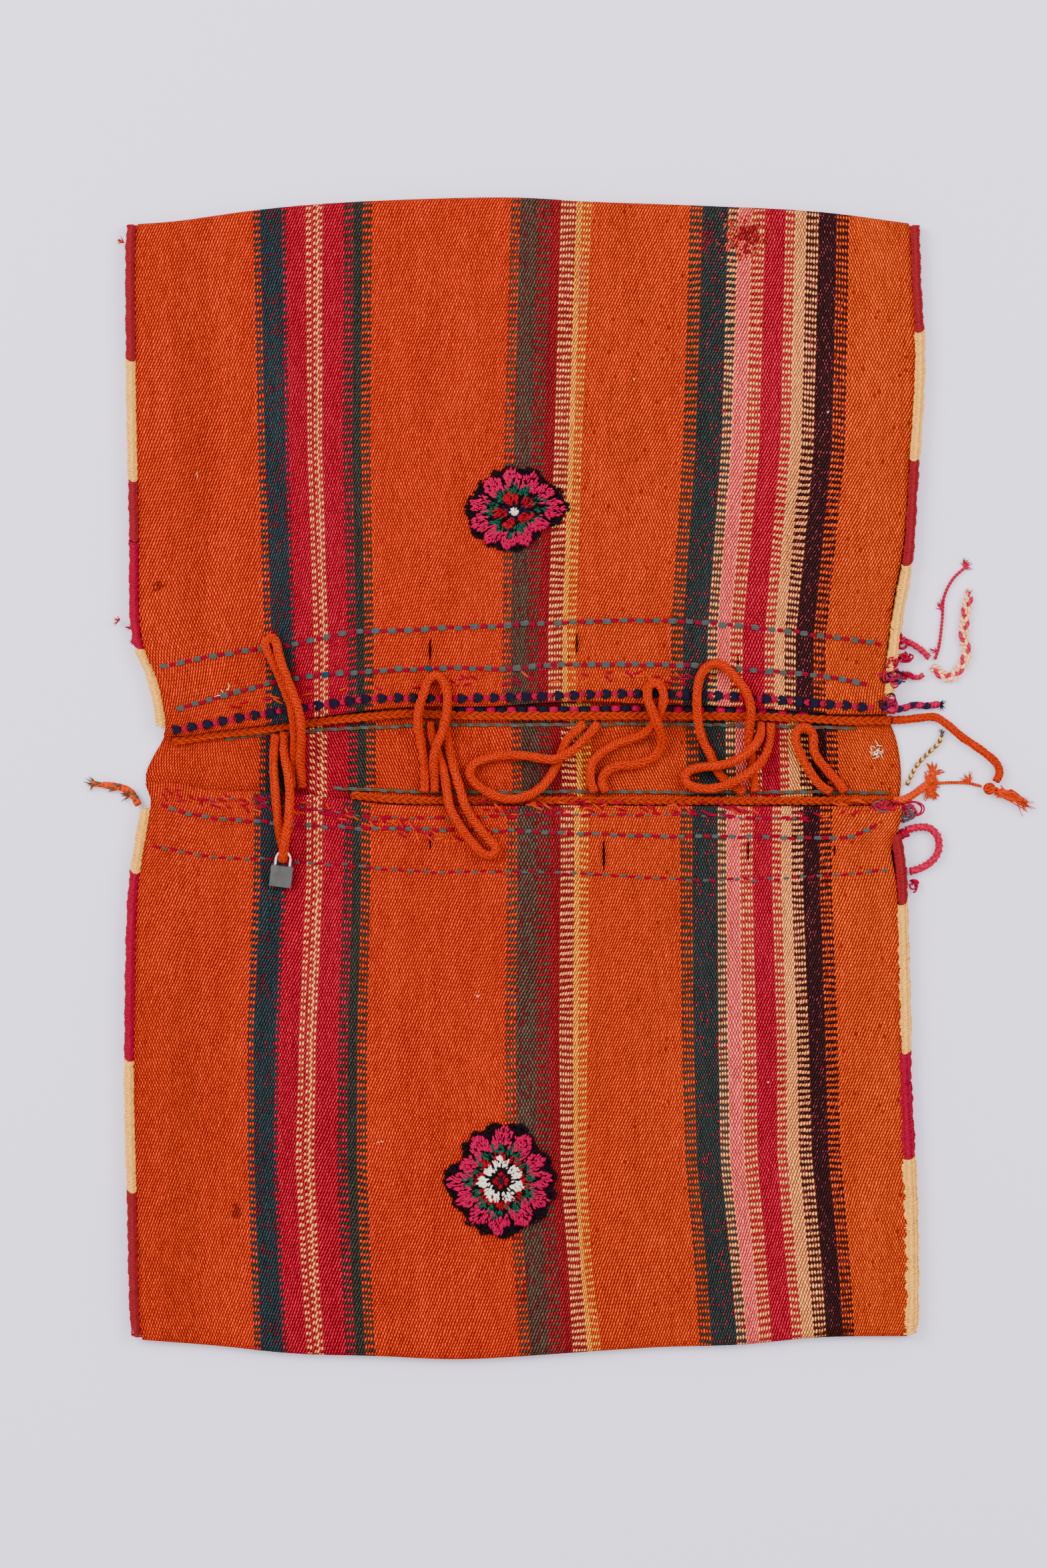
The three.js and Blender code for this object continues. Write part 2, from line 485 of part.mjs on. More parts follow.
const LOCK = {
  width: 18.2, height: 18, depth: 6.4, edge: 0.6,
  wire: 2.8, // diameter of the shackle
  span: 11.9, // between the centres of its legs
  rise: 11, // from the body's top to the centre line of the bow
  heel: 12.5, toe: 5.5, // how deep the legs go in
  plug: 4.4, plugLength: 8.5, keyway: [1.2, 2.8, 5],
};
const LOCK_PLACE = [-201.3, -88.1, FLAP_TOP + CLEARANCE];
const LOCK_TURN = -7.5; // degrees about +Z
const LOCK_TILT = 14; // degrees, bottom edge on the cloth and bow raised over the braid

function roundBar(radius, from, to, axisX, axisZ) {
  const bar = new THREE.CylinderGeometry(radius, radius, to - from, 20);
  return bar.translate(axisX, (from + to) / 2, axisZ);
}

function lockBody() {
  const { width, height, depth, edge, wire, span, heel, toe, plug, plugLength } = LOCK;
  const face = new THREE.Shape();
  const w = width / 2 - edge;
  const h = height - edge;
  face.moveTo(-w, edge).lineTo(w, edge).lineTo(w, h).lineTo(-w, h).closePath();
  const settings = { depth: depth - 2 * edge, bevelThickness: edge, bevelSize: edge, bevelSegments: 2 };
  let body = toSolid(new THREE.ExtrudeGeometry(face, settings).translate(0, 0, edge));
  const middle = depth / 2;
  const hole = wire / 2 + CLEARANCE;
  const cuts = [
    roundBar(hole, height - heel - CLEARANCE, height + 1, -span / 2, middle),
    roundBar(hole, height - toe - CLEARANCE, height + 1, span / 2, middle),
    roundBar(plug / 2 + CLEARANCE, -1, plugLength + 2 * CLEARANCE, 0, middle),
  ];
  for (const cut of cuts) {
    body = body.subtract(toSolid(cut));
  }
  return toGeometry(body);
}

function lockShackle() {
  const { height, depth, wire, span, rise, heel, toe } = LOCK;
  const middle = depth / 2;
  const bowRadius = span / 2;
  const bowStart = height + rise - bowRadius;
  const at = (x, y) => new THREE.Vector3(x, y, middle);
  const points = [at(-bowRadius, height - heel), at(-bowRadius, height - heel / 2), at(-bowRadius, height)];
  const bowSteps = 12;
  for (let i = 0; i <= bowSteps; i += 1) {
    const angle = Math.PI * (1 - i / bowSteps);
    points.push(at(bowRadius * Math.cos(angle), bowStart + bowRadius * Math.sin(angle)));
  }
  points.push(at(bowRadius, height), at(bowRadius, height - toe));
  const rod = new THREE.CatmullRomCurve3(points, false, "centripetal");
  const settings = { extrudePath: rod, steps: 28, bevelEnabled: false };
  return new THREE.ExtrudeGeometry(circleShape(wire / 2, 10), settings);
}

function keyPlug() {
  const { depth, plug, plugLength, keyway } = LOCK;
  const [slotWidth, slotHeight, slotDepth] = keyway;
  const slot = new THREE.BoxGeometry(slotWidth, slotDepth + 1, slotHeight);
  slot.translate(0, (slotDepth - 1) / 2, depth / 2);
  const barrel = toSolid(roundBar(plug / 2, 0.1, plugLength, 0, depth / 2));
  return toGeometry(barrel.subtract(toSolid(slot)));
}

function buildPadlock() {
  const lock = new THREE.Group();
  lock.position.set(...LOCK_PLACE);
  lock.rotation.order = "ZYX";
  lock.rotation.z = THREE.MathUtils.degToRad(LOCK_TURN);
  lock.rotation.x = THREE.MathUtils.degToRad(LOCK_TILT);
  bag.add(lock);
  addPiece("padlock_body", lockBody(), metal(STEEL), lock);
  addPiece("padlock_shackle", lockShackle(), metal("#d9d9da"), lock);
  addPiece("padlock_key_plug", keyPlug(), metal("#b59a55"), lock);
}

// ---- assembly -----------------------------------------------------------------------------

buildWovenStrip();
buildBindings(LEFT_BINDINGS, leftEdge, -1);
buildBindings(RIGHT_BINDINGS, rightEdge, 1);
buildStitchRows();
buildBaseCords();
buildLoops();
buildFreeEnds();
buildRosettes();
buildPadlock();

export default bag;
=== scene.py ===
"""A woollen kilim saddle bag lying flat on a pale floor: how it looks, built around its CAD model."""

import math

import bpy
import numpy as np
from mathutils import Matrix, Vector


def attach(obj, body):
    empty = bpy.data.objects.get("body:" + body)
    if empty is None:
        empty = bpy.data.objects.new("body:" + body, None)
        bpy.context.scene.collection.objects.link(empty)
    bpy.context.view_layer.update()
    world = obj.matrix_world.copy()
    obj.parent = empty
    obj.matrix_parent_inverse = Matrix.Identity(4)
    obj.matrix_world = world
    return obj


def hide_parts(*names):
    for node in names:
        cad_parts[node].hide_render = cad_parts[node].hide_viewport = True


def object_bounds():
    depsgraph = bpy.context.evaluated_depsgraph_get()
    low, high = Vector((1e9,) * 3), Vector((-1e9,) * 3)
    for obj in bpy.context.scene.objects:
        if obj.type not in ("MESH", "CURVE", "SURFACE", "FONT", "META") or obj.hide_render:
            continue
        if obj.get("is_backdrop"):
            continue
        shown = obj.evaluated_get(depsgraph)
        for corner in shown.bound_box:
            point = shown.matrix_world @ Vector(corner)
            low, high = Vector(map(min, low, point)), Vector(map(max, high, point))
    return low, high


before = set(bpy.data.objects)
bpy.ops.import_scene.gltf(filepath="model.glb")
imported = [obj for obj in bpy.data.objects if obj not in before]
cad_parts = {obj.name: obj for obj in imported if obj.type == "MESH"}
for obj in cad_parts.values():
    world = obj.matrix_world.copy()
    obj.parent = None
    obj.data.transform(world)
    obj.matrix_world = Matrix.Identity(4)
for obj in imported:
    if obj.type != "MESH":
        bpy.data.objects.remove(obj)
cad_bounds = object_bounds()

# ---- camera ------------------------------------------------------------------------------------
# A copy stand's camera: a short telephoto looking straight down at the middle of the bag from 3 m.
# The picture's upright side is the bag's length.

lens = bpy.data.cameras.new("copy_stand_lens")
lens.lens = 85
lens.sensor_width = 36
lens.clip_start = 0.1
camera = bpy.data.objects.new("copy_stand_camera", lens)
camera.location = (-0.0011, -0.0047, 3.062)
bpy.context.scene.collection.objects.link(camera)
bpy.context.scene.camera = camera

# ---- closing loops -----------------------------------------------------------------------------
# Nine loops of round braid, four strands of bright orange plied wool each. Both ends of a loop are
# sewn to a base cord at a mouth, and the loop lies loose over the bridge or over a flap.

MM = 0.001
FLAP_TOP = 11.4  # mm above the floor, as all heights here
FLAP_UNDER = 9.0
CLOTH = 2.4
B = 7.5  # centre of a braid that lies on the bridge
F = 16.5  # centre of a braid that lies on a flap
OVER = 7.8  # rise of a braid that crosses another
rng = np.random.default_rng(11)


def rgb(colour):
    """The linear colour of an sRGB hex colour."""
    parts = [int(colour[i : i + 2], 16) / 255 for i in (1, 3, 5)]
    return (*[c / 12.92 if c <= 0.04045 else ((c + 0.055) / 1.055) ** 2.4 for c in parts], 1.0)


def add(tree, kind, inputs=None, **settings):
    """A new shader node. inputs gives its sockets a value or another node's output."""
    node = tree.nodes.new("ShaderNode" + kind)
    for name, value in settings.items():
        setattr(node, name, value)
    for name, value in (inputs or {}).items():
        if isinstance(value, bpy.types.NodeSocket):
            tree.links.new(value, node.inputs[name])
        else:
            node.inputs[name].default_value = value
    return node


def maths(tree, operation, *values):
    """The output of a Math node."""
    return add(tree, "Math", dict(enumerate(values)), operation=operation).outputs[0]


def blend(tree, share, first, second, blend_type="MIX"):
    """The output of a colour Mix node."""
    inputs = {"Factor": share, "A": first, "B": second}
    node = tree.nodes.new("ShaderNodeMix")
    node.data_type, node.blend_type = "RGBA", blend_type
    for name, value in inputs.items():
        socket = next(s for s in node.inputs if s.name == name and s.enabled)
        if isinstance(value, bpy.types.NodeSocket):
            tree.links.new(value, socket)
        else:
            socket.default_value = value
    return next(s for s in node.outputs if s.enabled)


def new_material(name):
    """An empty material, its node tree and its Principled shader."""
    material = bpy.data.materials.new(name)
    material.use_nodes = True
    return material, material.node_tree, material.node_tree.nodes["Principled BSDF"]


def plied_wool(name, light, dark, plies=3, twist=5.5, relief=0.35, rough=0.92):
    """Spun and plied wool: lighter on the crests of the plies, with painted shade in the grooves, streaked by fibres
    that run along the yarn, with a soft sheen of loose hair.
    """
    material, tree, shader = new_material(name)
    yarn = add(tree, "Attribute", attribute_name="yarn").outputs["Vector"]
    along, around, number = add(tree, "SeparateXYZ", {0: yarn}).outputs
    turn = maths(tree, "MULTIPLY_ADD", along, 1 / twist, maths(tree, "MULTIPLY", around, float(plies)))
    crest = maths(tree, "ABSOLUTE", maths(tree, "SINE", maths(tree, "MULTIPLY", turn, math.pi)))
    streak_at = add(tree, "CombineXYZ", {0: maths(tree, "MULTIPLY", along, 0.35), 1: maths(tree, "MULTIPLY", turn, 5.0), 2: number}).outputs[0]
    streaks = add(tree, "TexNoise", {"Vector": streak_at, "Scale": 1.6, "Detail": 3.0}).outputs["Fac"]
    batch = add(tree, "TexNoise", {"Vector": add(tree, "CombineXYZ", {0: maths(tree, "MULTIPLY", along, 0.06), 1: maths(tree, "MULTIPLY", number, 3.7)}).outputs[0], "Scale": 1.0}).outputs["Fac"]
    # painted shade: the crest mask pulls the colour toward the dark colour in the grooves between the plies; the
    # streaks and batches are the yarn's own tone
    share = maths(tree, "MULTIPLY_ADD", crest, 0.55, maths(tree, "MULTIPLY_ADD", streaks, 0.5, maths(tree, "MULTIPLY_ADD", batch, 0.5, -0.25)))
    colour = add(tree, "ValToRGB", {0: share})
    colour.color_ramp.elements[0].color, colour.color_ramp.elements[1].color = rgb(dark), rgb(light)
    colour.color_ramp.elements[0].position, colour.color_ramp.elements[1].position = 0.12, 0.78
    height = maths(tree, "MULTIPLY_ADD", streaks, 0.35, crest)
    bump = add(tree, "Bump", {"Strength": 0.9, "Distance": relief * MM, "Height": height})
    tree.links.new(colour.outputs[0], shader.inputs["Base Color"])
    tree.links.new(bump.outputs[0], shader.inputs["Normal"])
    shader.inputs["Roughness"].default_value = rough
    shader.inputs["Specular IOR Level"].default_value = 0.03
    shader.inputs["Sheen Weight"].default_value = 0.2
    shader.inputs["Sheen Roughness"].default_value = 0.5
    shader.inputs["Sheen Tint"].default_value = rgb(light)
    return material


def unit(v):
    return v / np.maximum(np.linalg.norm(v, axis=-1, keepdims=True), 1e-9)


def length_of(line):
    return float(np.linalg.norm(np.diff(line, axis=0), axis=1).sum())


def smooth(points, step=1.0):
    """A smooth line through points, with a point about every step along it."""
    p = np.array(points, float)
    knots = np.concatenate([[0], np.cumsum(np.sqrt(np.linalg.norm(np.diff(p, axis=0), axis=1)))])
    slope = np.gradient(p, knots, axis=0)
    fine = np.linspace(0, knots[-1], 24 * len(p))
    i = np.clip(np.searchsorted(knots, fine, side="right") - 1, 0, len(knots) - 2)
    h = (knots[i + 1] - knots[i])[:, None]
    u = (fine - knots[i])[:, None] / h
    q = (2 * u**3 - 3 * u**2 + 1) * p[i] + (u**3 - 2 * u**2 + u) * h * slope[i]
    q += (3 * u**2 - 2 * u**3) * p[i + 1] + (u**3 - u**2) * h * slope[i + 1]
    along = np.concatenate([[0], np.cumsum(np.linalg.norm(np.diff(q, axis=0), axis=1))])
    at = np.linspace(0, along[-1], max(2, round(along[-1] / step) + 1))
    return np.stack([np.interp(at, along, q[:, k]) for k in range(p.shape[1])], axis=1)


def frames(line):
    """Tangents along a line, and across it an upper and a side direction that turn as little as they can."""
    tangent = unit(np.gradient(line, axis=0))
    upper = np.zeros_like(tangent)
    first = np.array([0.0, 0.0, 1.0]) if abs(tangent[0, 2]) < 0.9 else np.array([1.0, 0.0, 0.0])
    for i, t in enumerate(tangent):
        kept = first if i == 0 else upper[i - 1]
        upper[i] = unit(kept - t * (kept @ t))
    return tangent, upper, np.cross(tangent, upper)


def tube(path, radius, upper=None, sides=6, flat=1.0, number=0.0, material=0):
    """A yarn along a path in mm, as (points, quads, corner coordinates, material). A corner's coordinates are its distance along the yarn in mm, its turn around it, and the yarn's number."""
    path = np.asarray(path, float)
    count = len(path)
    radius = np.broadcast_to(radius, count).astype(float)
    tangent = unit(np.gradient(path, axis=0))
    upper = np.array([0.09, 0.05, 1.0]) if upper is None else upper
    normal = unit(upper - (upper * tangent).sum(-1, keepdims=True) * tangent)
    side = np.cross(tangent, normal)
    turn = np.arange(sides) / sides
    c, s = np.cos(2 * math.pi * turn), np.sin(2 * math.pi * turn)
    ring = flat * c[None, :, None] * normal[:, None] + s[None, :, None] * side[:, None]
    points = (path[:, None] + radius[:, None, None] * ring).reshape(-1, 3)
    along = np.concatenate([[0], np.cumsum(np.linalg.norm(np.diff(path, axis=0), axis=1))])
    i, j = [g.ravel() for g in np.meshgrid(np.arange(count - 1), np.arange(sides), indexing="ij")]
    k = (j + 1) % sides
    quads = np.stack([i * sides + j, i * sides + k, (i + 1) * sides + k, (i + 1) * sides + j], axis=1)
    where = np.stack([along[i], along[i], along[i + 1], along[i + 1]], axis=1)
    around = np.stack([j, j + 1, j + 1, j], axis=1) / sides
    fans = np.array([[0, m, m + 1, m + 2] for m in range(1, sides - 1, 2)])
    quads = np.concatenate([quads, fans[:, ::-1], fans + (count - 1) * sides])
    ends = np.zeros((2 * len(fans), 4))
    where, around = np.concatenate([where, ends]), np.concatenate([around, ends])
    corners = np.stack([where, around, np.full(where.shape, float(number))], axis=2)
    return points, quads, corners, material


def piece(name, parts, materials, stands_for=(), body="bag"):
    """One smooth object made of parts, in mm, that rides on a body of the CAD model."""
    starts = np.cumsum([0] + [len(p[0]) for p in parts[:-1]])
    points = np.concatenate([p[0] for p in parts]) * MM
    points[:, 2] = np.maximum(points[:, 2], 0)
    quads = np.concatenate([p[1] + start for p, start in zip(parts, starts)])
    mesh = bpy.data.meshes.new(name)
    mesh.from_pydata(points.tolist(), [], quads.tolist())
    corners = np.concatenate([p[2] for p in parts]).reshape(-1).astype(np.float32)
    mesh.attributes.new("yarn", "FLOAT_VECTOR", "CORNER").data.foreach_set("vector", corners)
    for material in materials:
        mesh.materials.append(material)
    numbers = np.concatenate([np.broadcast_to(p[3], len(p[1])) for p in parts]).astype(np.int32)
    mesh.polygons.foreach_set("material_index", numbers)
    mesh.polygons.foreach_set("use_smooth", np.ones(len(quads), bool))
    mesh.update()
    made = bpy.data.objects.new(name, mesh)
    bpy.context.scene.collection.objects.link(made)
    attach(made, body)
    if stands_for:
        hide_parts(*stands_for)
    return made


def round_braid(line, radius, pitch, strands=12, number=0.0, materials=(0,), sides=6, over=0.1, taper=0):
    """A round braid about a line. Half of its strands wind each way, and those of one way lie on top on two of its four faces, so that it shows a herringbone."""
    tangent, upper, side = frames(line)
    along = np.concatenate([[0], np.cumsum(np.linalg.norm(np.diff(line, axis=0), axis=1))])
    turns = 2 * math.pi * along / pitch + np.cumsum(rng.normal(0, 0.02, len(line)))
    half = strands // 2
    wide = 2 * math.pi * radius * 0.8 / half * 0.43
    parts = []
    for k in range(strands):
        way = 1 if k < half else -1
        angle = way * turns + 2 * math.pi * (k % half) / half
        out = np.cos(angle)[:, None] * upper + np.sin(angle)[:, None] * side
        thick = wide * (1 + 0.08 * np.sin(along * 0.7 + k * 2.1))
        reach = (radius - 0.72 * wide) * (1 + way * over * np.sin(2 * angle) + 0.03 * np.sin(along * 0.31 + k) + 0.05 * np.sin(along * 0.43 + number))
        if taper:
            thick = thick * np.clip((along[-1] - along) / taper, 0.6, 1)
        parts.append(tube(line + out * reach[:, None], thick, out, sides, 0.72, number + k, materials[k % len(materials)]))
    return parts


def flat_plait(line, wide, pitch, number=0.0, materials=(0,), sides=8):
    """A flat plait of three strands that lies level, as hair is plaited."""
    tangent = unit(np.gradient(line, axis=0))
    side = unit(np.cross([0.0, 0.0, 1.0], tangent))
    along = np.concatenate([[0], np.cumsum(np.linalg.norm(np.diff(line, axis=0), axis=1))])
    turns = 2 * math.pi * along / pitch + np.cumsum(rng.normal(0, 0.015, len(line)))
    parts = []
    for k in range(3):
        a = turns + 2 * math.pi * k / 3
        path = line + side * (wide * 0.31 * np.sin(a))[:, None]
        path[:, 2] += wide * 0.13 * np.sin(2 * a)
        parts.append(tube(path, wide * 0.2, None, sides, 0.9, number + k, materials[k % len(materials)]))
    return parts


def fuzz(line, radius, count, number=0.0, material=0, reach=1.6):
    """Loose hairs that stand off a yarn or a braid."""
    tangent, upper, side = frames(line)
    parts = []
    for _ in range(count):
        i = int(rng.integers(0, len(line)))
        angle = rng.uniform(0, 2 * math.pi)
        out = math.cos(angle) * upper[i] + math.sin(angle) * side[i]
        start = line[i] + out * radius * 0.8
        bend = unit(tangent[i] * rng.normal(0, 1) + out * 0.7 + rng.normal(0, 0.3, 3))
        tall = radius * 0.2 + rng.uniform(0.4, 1) * reach
        hair = np.array([start, start + out * tall * 0.45 + bend * tall * 0.25, start + out * tall * 0.6 + bend * tall * 0.8])
        parts.append(tube(hair, np.array([0.11, 0.09, 0.04]), None, 4, 1.0, number + i, material))
    return parts


orange_braid = plied_wool("orange_braided_wool_yarn", "#b42600", "#46100a", relief=0.5)

LOOPS = {
    "closing_loop_far_left": [
        (-192.4, -7.5, B), (-192, 6, B), (-190.4, 18.5, B + 0.5), (-189.5, 30, B + 4), (-189.8, 43, B + 7.5),
        (-192, 58, F + 0.4), (-196.8, 71.5, F), (-201.8, 84, F), (-206.5, 95, F), (-211.5, 105, F), (-212.8, 112, F),
        (-208.3, 115.6, F + 0.4), (-204.4, 111.5, F + 2), (-202.8, 104, F + 3.6), (-199.4, 93, F + 5), (-194.5, 80, F + 5.8),
        (-189, 66, F + 7), (-184.8, 52, F + OVER), (-183.7, 40, F + OVER - 1), (-184, 28, B + OVER + 4), (-185, 16, B + 6.5),
        (-184.6, 4, B + 2.5), (-184, -7.5, B),
    ],
    "padlock_loop": [
        (-205.5, 36, B), (-206.8, 25, B), (-207, 8, B + 1), (-206, -4, F - 3), (-205, -14, F), (-203.5, -29, F),
        (-201.4, -45.5, F), (-199, -56, F), (-197.8, -61, F - 0.2), (-198.3, -64.9, F + 1.5), (-198.5, -66.4, 21.9),
        (-198.3, -64.9, 25.8), (-197.8, -61, 27.4), (-197.2, -57, 28.4), (-196.5, -53, 29.3), (-195.5, -46, 28.4),
        (-194.2, -38, 26.3), (-193.4, -29, 24), (-193, -13, 19.5), (-194, -2, 17.8), (-195.6, 8, 14.4),
        (-198.2, 20, B + 2), (-198.4, 30, B), (-198.2, 38, B),
    ],
    "closing_loop_left_arch": [
        (-82.5, -11.2, B), (-82.3, 2, B), (-83, 14, B), (-85, 27, B + 1), (-87.5, 40, B + 5), (-88, 49, B + 7.5),
        (-86.5, 60, F), (-83, 70, F), (-80, 79.5, F), (-73.5, 84.5, F), (-67, 79.5, F), (-64, 70, F),
        (-63.8, 60, F), (-65.5, 48, F - 0.5), (-69, 36, B + OVER + 0.5), (-73, 25.5, B + OVER),
        (-75.3, 14, B + 5.6), (-74.6, 2, B + 1), (-73.8, -11.2, B),
    ],
    "closing_loop_left_pair": [
        (-78, 46.5, B), (-77, 37.5, B), (-73, 24, B), (-68.6, 11, B), (-65.8, 0, B + 2), (-64, -12, B + 6.2),
        (-61.5, -24, F), (-56, -35, F), (-48, -47, F), (-40, -56.5, F), (-33.5, -62.5, F), (-26, -63, F),
        (-24, -57, F), (-29, -50.5, F), (-36.5, -42, F), (-44.5, -31, F), (-49.8, -21, F - 0.4),
        (-52.5, -12, B + 6.2), (-55.8, -1, B + 2.5), (-59, 10, B), (-61.8, 22, B), (-64.3, 34, B), (-66, 46.5, B),
    ],
    "closing_loop_middle_left": [
        (49, 45.5, B), (43, 40, B), (36, 33, B), (31, 23.5, B), (27.5, 14, B), (22.5, 4, B + 1), (15.5, -5.5, B + 3.5),
        (6, -12.5, B + 6), (-5.5, -16.5, B + 7), (-17, -16.5, B + 7), (-28.5, -12.5, B + 6), (-38, -6.5, B + 3),
        (-44, 0, B + 0.5), (-45.5, 6, B), (-42, 11.5, B), (-33.5, 15.5, B), (-23, 18, B), (-11.5, 19, B),
        (1, 18.5, B + 1.5), (12.5, 16.5, B + 5), (24, 15.5, B + OVER), (34, 19.5, B + 6.5), (43, 26, B + 2.5),
        (51, 34, B), (57, 41, B), (60.5, 45.5, B),
    ],
    "closing_loop_middle": [
        (58, -11.2, B), (54.8, -4.5, B), (54, 4, B), (55.5, 12, B), (61.5, 19.5, B), (70, 25.5, B), (78.5, 29.5, B),
        (88, 32.5, B), (97, 36, B + 1.5), (104, 42, B + 5), (109.5, 51, B + 7.6), (113, 59.5, F), (114.2, 68, F),
        (111.5, 76, F), (106, 78.5, F), (101.5, 74.5, F), (101, 66, F + 2), (103.5, 58, F + 5),
        (107, 49.5, F + 6), (110.8, 40.5, B + 10.5), (113, 32, B + 4), (111.5, 24, B + 0.5), (106, 17.5, B),
        (98, 13.5, B), (88, 11, B), (78.5, 10.5, B), (70.5, 7.5, B), (65.3, 3, B), (64, -4, B), (67, -11.2, B),
    ],
    "closing_loop_right_arch": [
        (181, -11, B), (174, -7.5, B), (164, -0.5, B), (158.3, 7, B), (153.5, 18.5, B), (148, 29, B + 1),
        (144, 40, B + 5), (142, 52, B + 8), (141.5, 63, F), (142, 73, F), (144, 83, F), (149, 91, F), (155.5, 94, F),
        (162.5, 93, F), (169, 87.5, F), (176, 79.5, F), (182.5, 70, F), (185.5, 60, F), (186, 51, F - 1),
        (185, 43, B + 5.5), (184.5, 34, B + 1.5), (186, 25, B), (187.5, 14, B), (188.5, 2, B), (190, -11, B),
    ],
    "closing_loop_right_crossed": [
        (194.3, 45.5, B), (194.3, 37, B + 3), (191.5, 30, B + 6), (187, 24.5, B + OVER), (180, 18.5, B + OVER),
        (170.5, 13.5, B + OVER), (159.5, 10.5, B + OVER), (148.5, 9.5, B + 5), (138.5, 7.5, B + 1.5), (132.5, 3, B),
        (132.5, -2, B + 0.5), (138, -6.5, B + 2), (147, -8.5, B + 4.5), (157, -8, B + 6.8), (168, -4.5, B + OVER),
        (177.5, 0, B + OVER), (187, 6.5, B + OVER), (195, 14, B + 5), (199.5, 23, B + 1.5), (202, 34, B),
        (202.8, 45.5, B),
    ],
    "closing_loop_far_right": [
        (252.5, -11.2, B), (243.5, -5.5, B), (236.5, 3.5, B), (231, 12, B), (226.5, 22, B), (223.5, 31, B),
        (224, 38, B), (229, 42, B), (235, 40.5, B), (238.2, 34, B), (238, 26, B), (240.5, 18, B), (246.5, 10, B),
        (252.5, 3, B), (259, -4, B), (264, -11.2, B),
    ],
}
LOOP_THICK = 7.6  # mm across the braid with its loose hair pressed down
for number, (name, route) in enumerate(LOOPS.items()):
    line = smooth(route, 2.1)
    long = length_of(line)
    parts = round_braid(line, LOOP_THICK / 2, 26, 12, number * 20, over=0.14)
    parts += fuzz(line, LOOP_THICK / 2, round(long * 0.9), number * 10)
    loop = piece(name + "_braid", parts, [orange_braid], [name])

# ---- base cords and their twining --------------------------------------------------------------
# A flat orange plait is sewn along each mouth and holds the ends of the loops. A thin grey and brown
# two-yarn twining runs beside it on the bridge, and catches it down.

UPPER_BASE = [
    (-290, 30.5, 6.1), (-247, 37, 6.1), (-212, 40.5, 6.1), (-181, 45.5, 6.1), (-129, 51, 6.1), (-94, 53.5, 6.1),
    (-59, 52, 6.1), (39, 51.5, 6.1), (125, 51.5, 6.1), (209, 50.5, 6.1), (273, 47.5, 6.1), (302.5, 48, 6.1),
]
LOWER_BASE = [
    (-143, -14, 5.8), (-115, -17, 5.8), (-87, -18.3, 5.8), (-38, -18.5, 5.8), (61, -18.5, 5.8), (167, -18.7, 5.8),
    (248, -18.7, 5.8), (303, -18.5, 5.8),
]
worn_braid = plied_wool("orange_base_cord_wool", "#a52a00", "#430f0b", 4, 9, 0.5)
for name, route, thick in (("upper_base_cord", UPPER_BASE, 8.0), ("lower_base_cord", LOWER_BASE, 7.8)):
    line = smooth(route, 1.6)
    piece(name + "_plait", flat_plait(line, thick, 19, 90), [worn_braid], [name])

grey_wool = plied_wool("grey_dyed_wool_thread", "#4e5654", "#15181a", 3, 6, 0.25)
brown_wool = plied_wool("undyed_brown_wool_thread", "#5f4129", "#2d1b13", 2, 5, 0.25)


def stitch(place, heading, long, wide, tall, threads=3, number=0.0, material=0, level=0.0, lean=0.0, steps=6):
    """One stitch: short threads side by side that come up out of the cloth and go back into it."""
    t = np.linspace(-1, 1, steps)
    forward = np.array([math.cos(heading), math.sin(heading), 0])
    left = np.array([-forward[1], forward[0], 0])
    parts = []
    for k in range(threads):
        beside = (k - (threads - 1) / 2) / threads * wide
        bulge = 1 - 0.5 * np.abs(t) ** 2.5
        rise = level - 0.7 + (tall + 0.7 - wide / threads * 0.5) * (1 - np.abs(t) ** 4) * (1 - 0.2 * abs(beside) / wide)
        path = np.array([*place[:2], 0]) + np.outer(t * long / 2, forward) + np.outer(beside * bulge + lean * t, left)
        path[:, 2] = rise + rng.normal(0, 0.05)
        thick = wide / threads * 0.62 * (1 - 0.35 * t**6)
        parts.append(tube(path, thick, None, 4, 1.0, number + k * 0.37, material))
    return parts


def places(route, pitch, wobble=0.04):
    """Points about every pitch along a level route, with the heading there and the number."""
    line = smooth(route, 0.5)
    at = np.arange(pitch / 2, length_of(line), pitch)
    index = np.clip((at / 0.5).astype(int), 1, len(line) - 2)
    for n, i in enumerate(index):
        d = line[i + 1] - line[i - 1]
        yield n, line[i] + rng.normal(0, pitch * wobble, 2), math.atan2(d[1], d[0])


HEM_BLOCKS = [(-58, 57.2), (15, 56.8), (67, 57.6), (125, 57), (190, 56), (245, 53)]
parts = []
for n, place, heading in places(HEM_BLOCKS, 8.6, 0.03):
    parts += stitch(place, heading, 9.2, 4.6, 4.6, 4, n, n % 2, CLOTH + 1.4)
navy_wool = plied_wool("navy_wool_embroidery_yarn", "#1d1a30", "#08060f", 3, 6, 0.3)
pink_wool = plied_wool("hot_pink_wool_embroidery_yarn", "#a80038", "#660320", 3, 6, 0.3)
piece("hem_satin_blocks", parts, [navy_wool, pink_wool])
UPPER_TWINING = [(-247, 33), (-214, 36.5), (-130, 42), (-66, 44), (-17, 44), (71, 44.5), (130, 44.5), (276, 41.5)]
LOWER_TWINING = [(-157, -8.6), (-125, -9.5), (-94, -11), (-22, -11.5), (50, -11), (125, -11.5), (237, -11.5), (302, -12)]
for name, route in (("upper_bridge_twining", UPPER_TWINING), ("lower_bridge_twining", LOWER_TWINING)):
    parts = []
    for n, place, heading in places(route, 6.2):
        lean = 0.4 if n % 2 else -0.4
        parts += stitch(place, heading, 8.6, 2.6, 2.0, 2, n, n % 2, CLOTH, lean)
    piece(name + "_yarn", parts, [grey_wool, brown_wool], [name])

# ---- woven strip -------------------------------------------------------------------------------
# One strip of warp-faced plain weave in thick wool, some 560 warps wide, folded in at both ends so
# that the flaps make two pockets. Its slits were left in the weaving, for the closing loops.

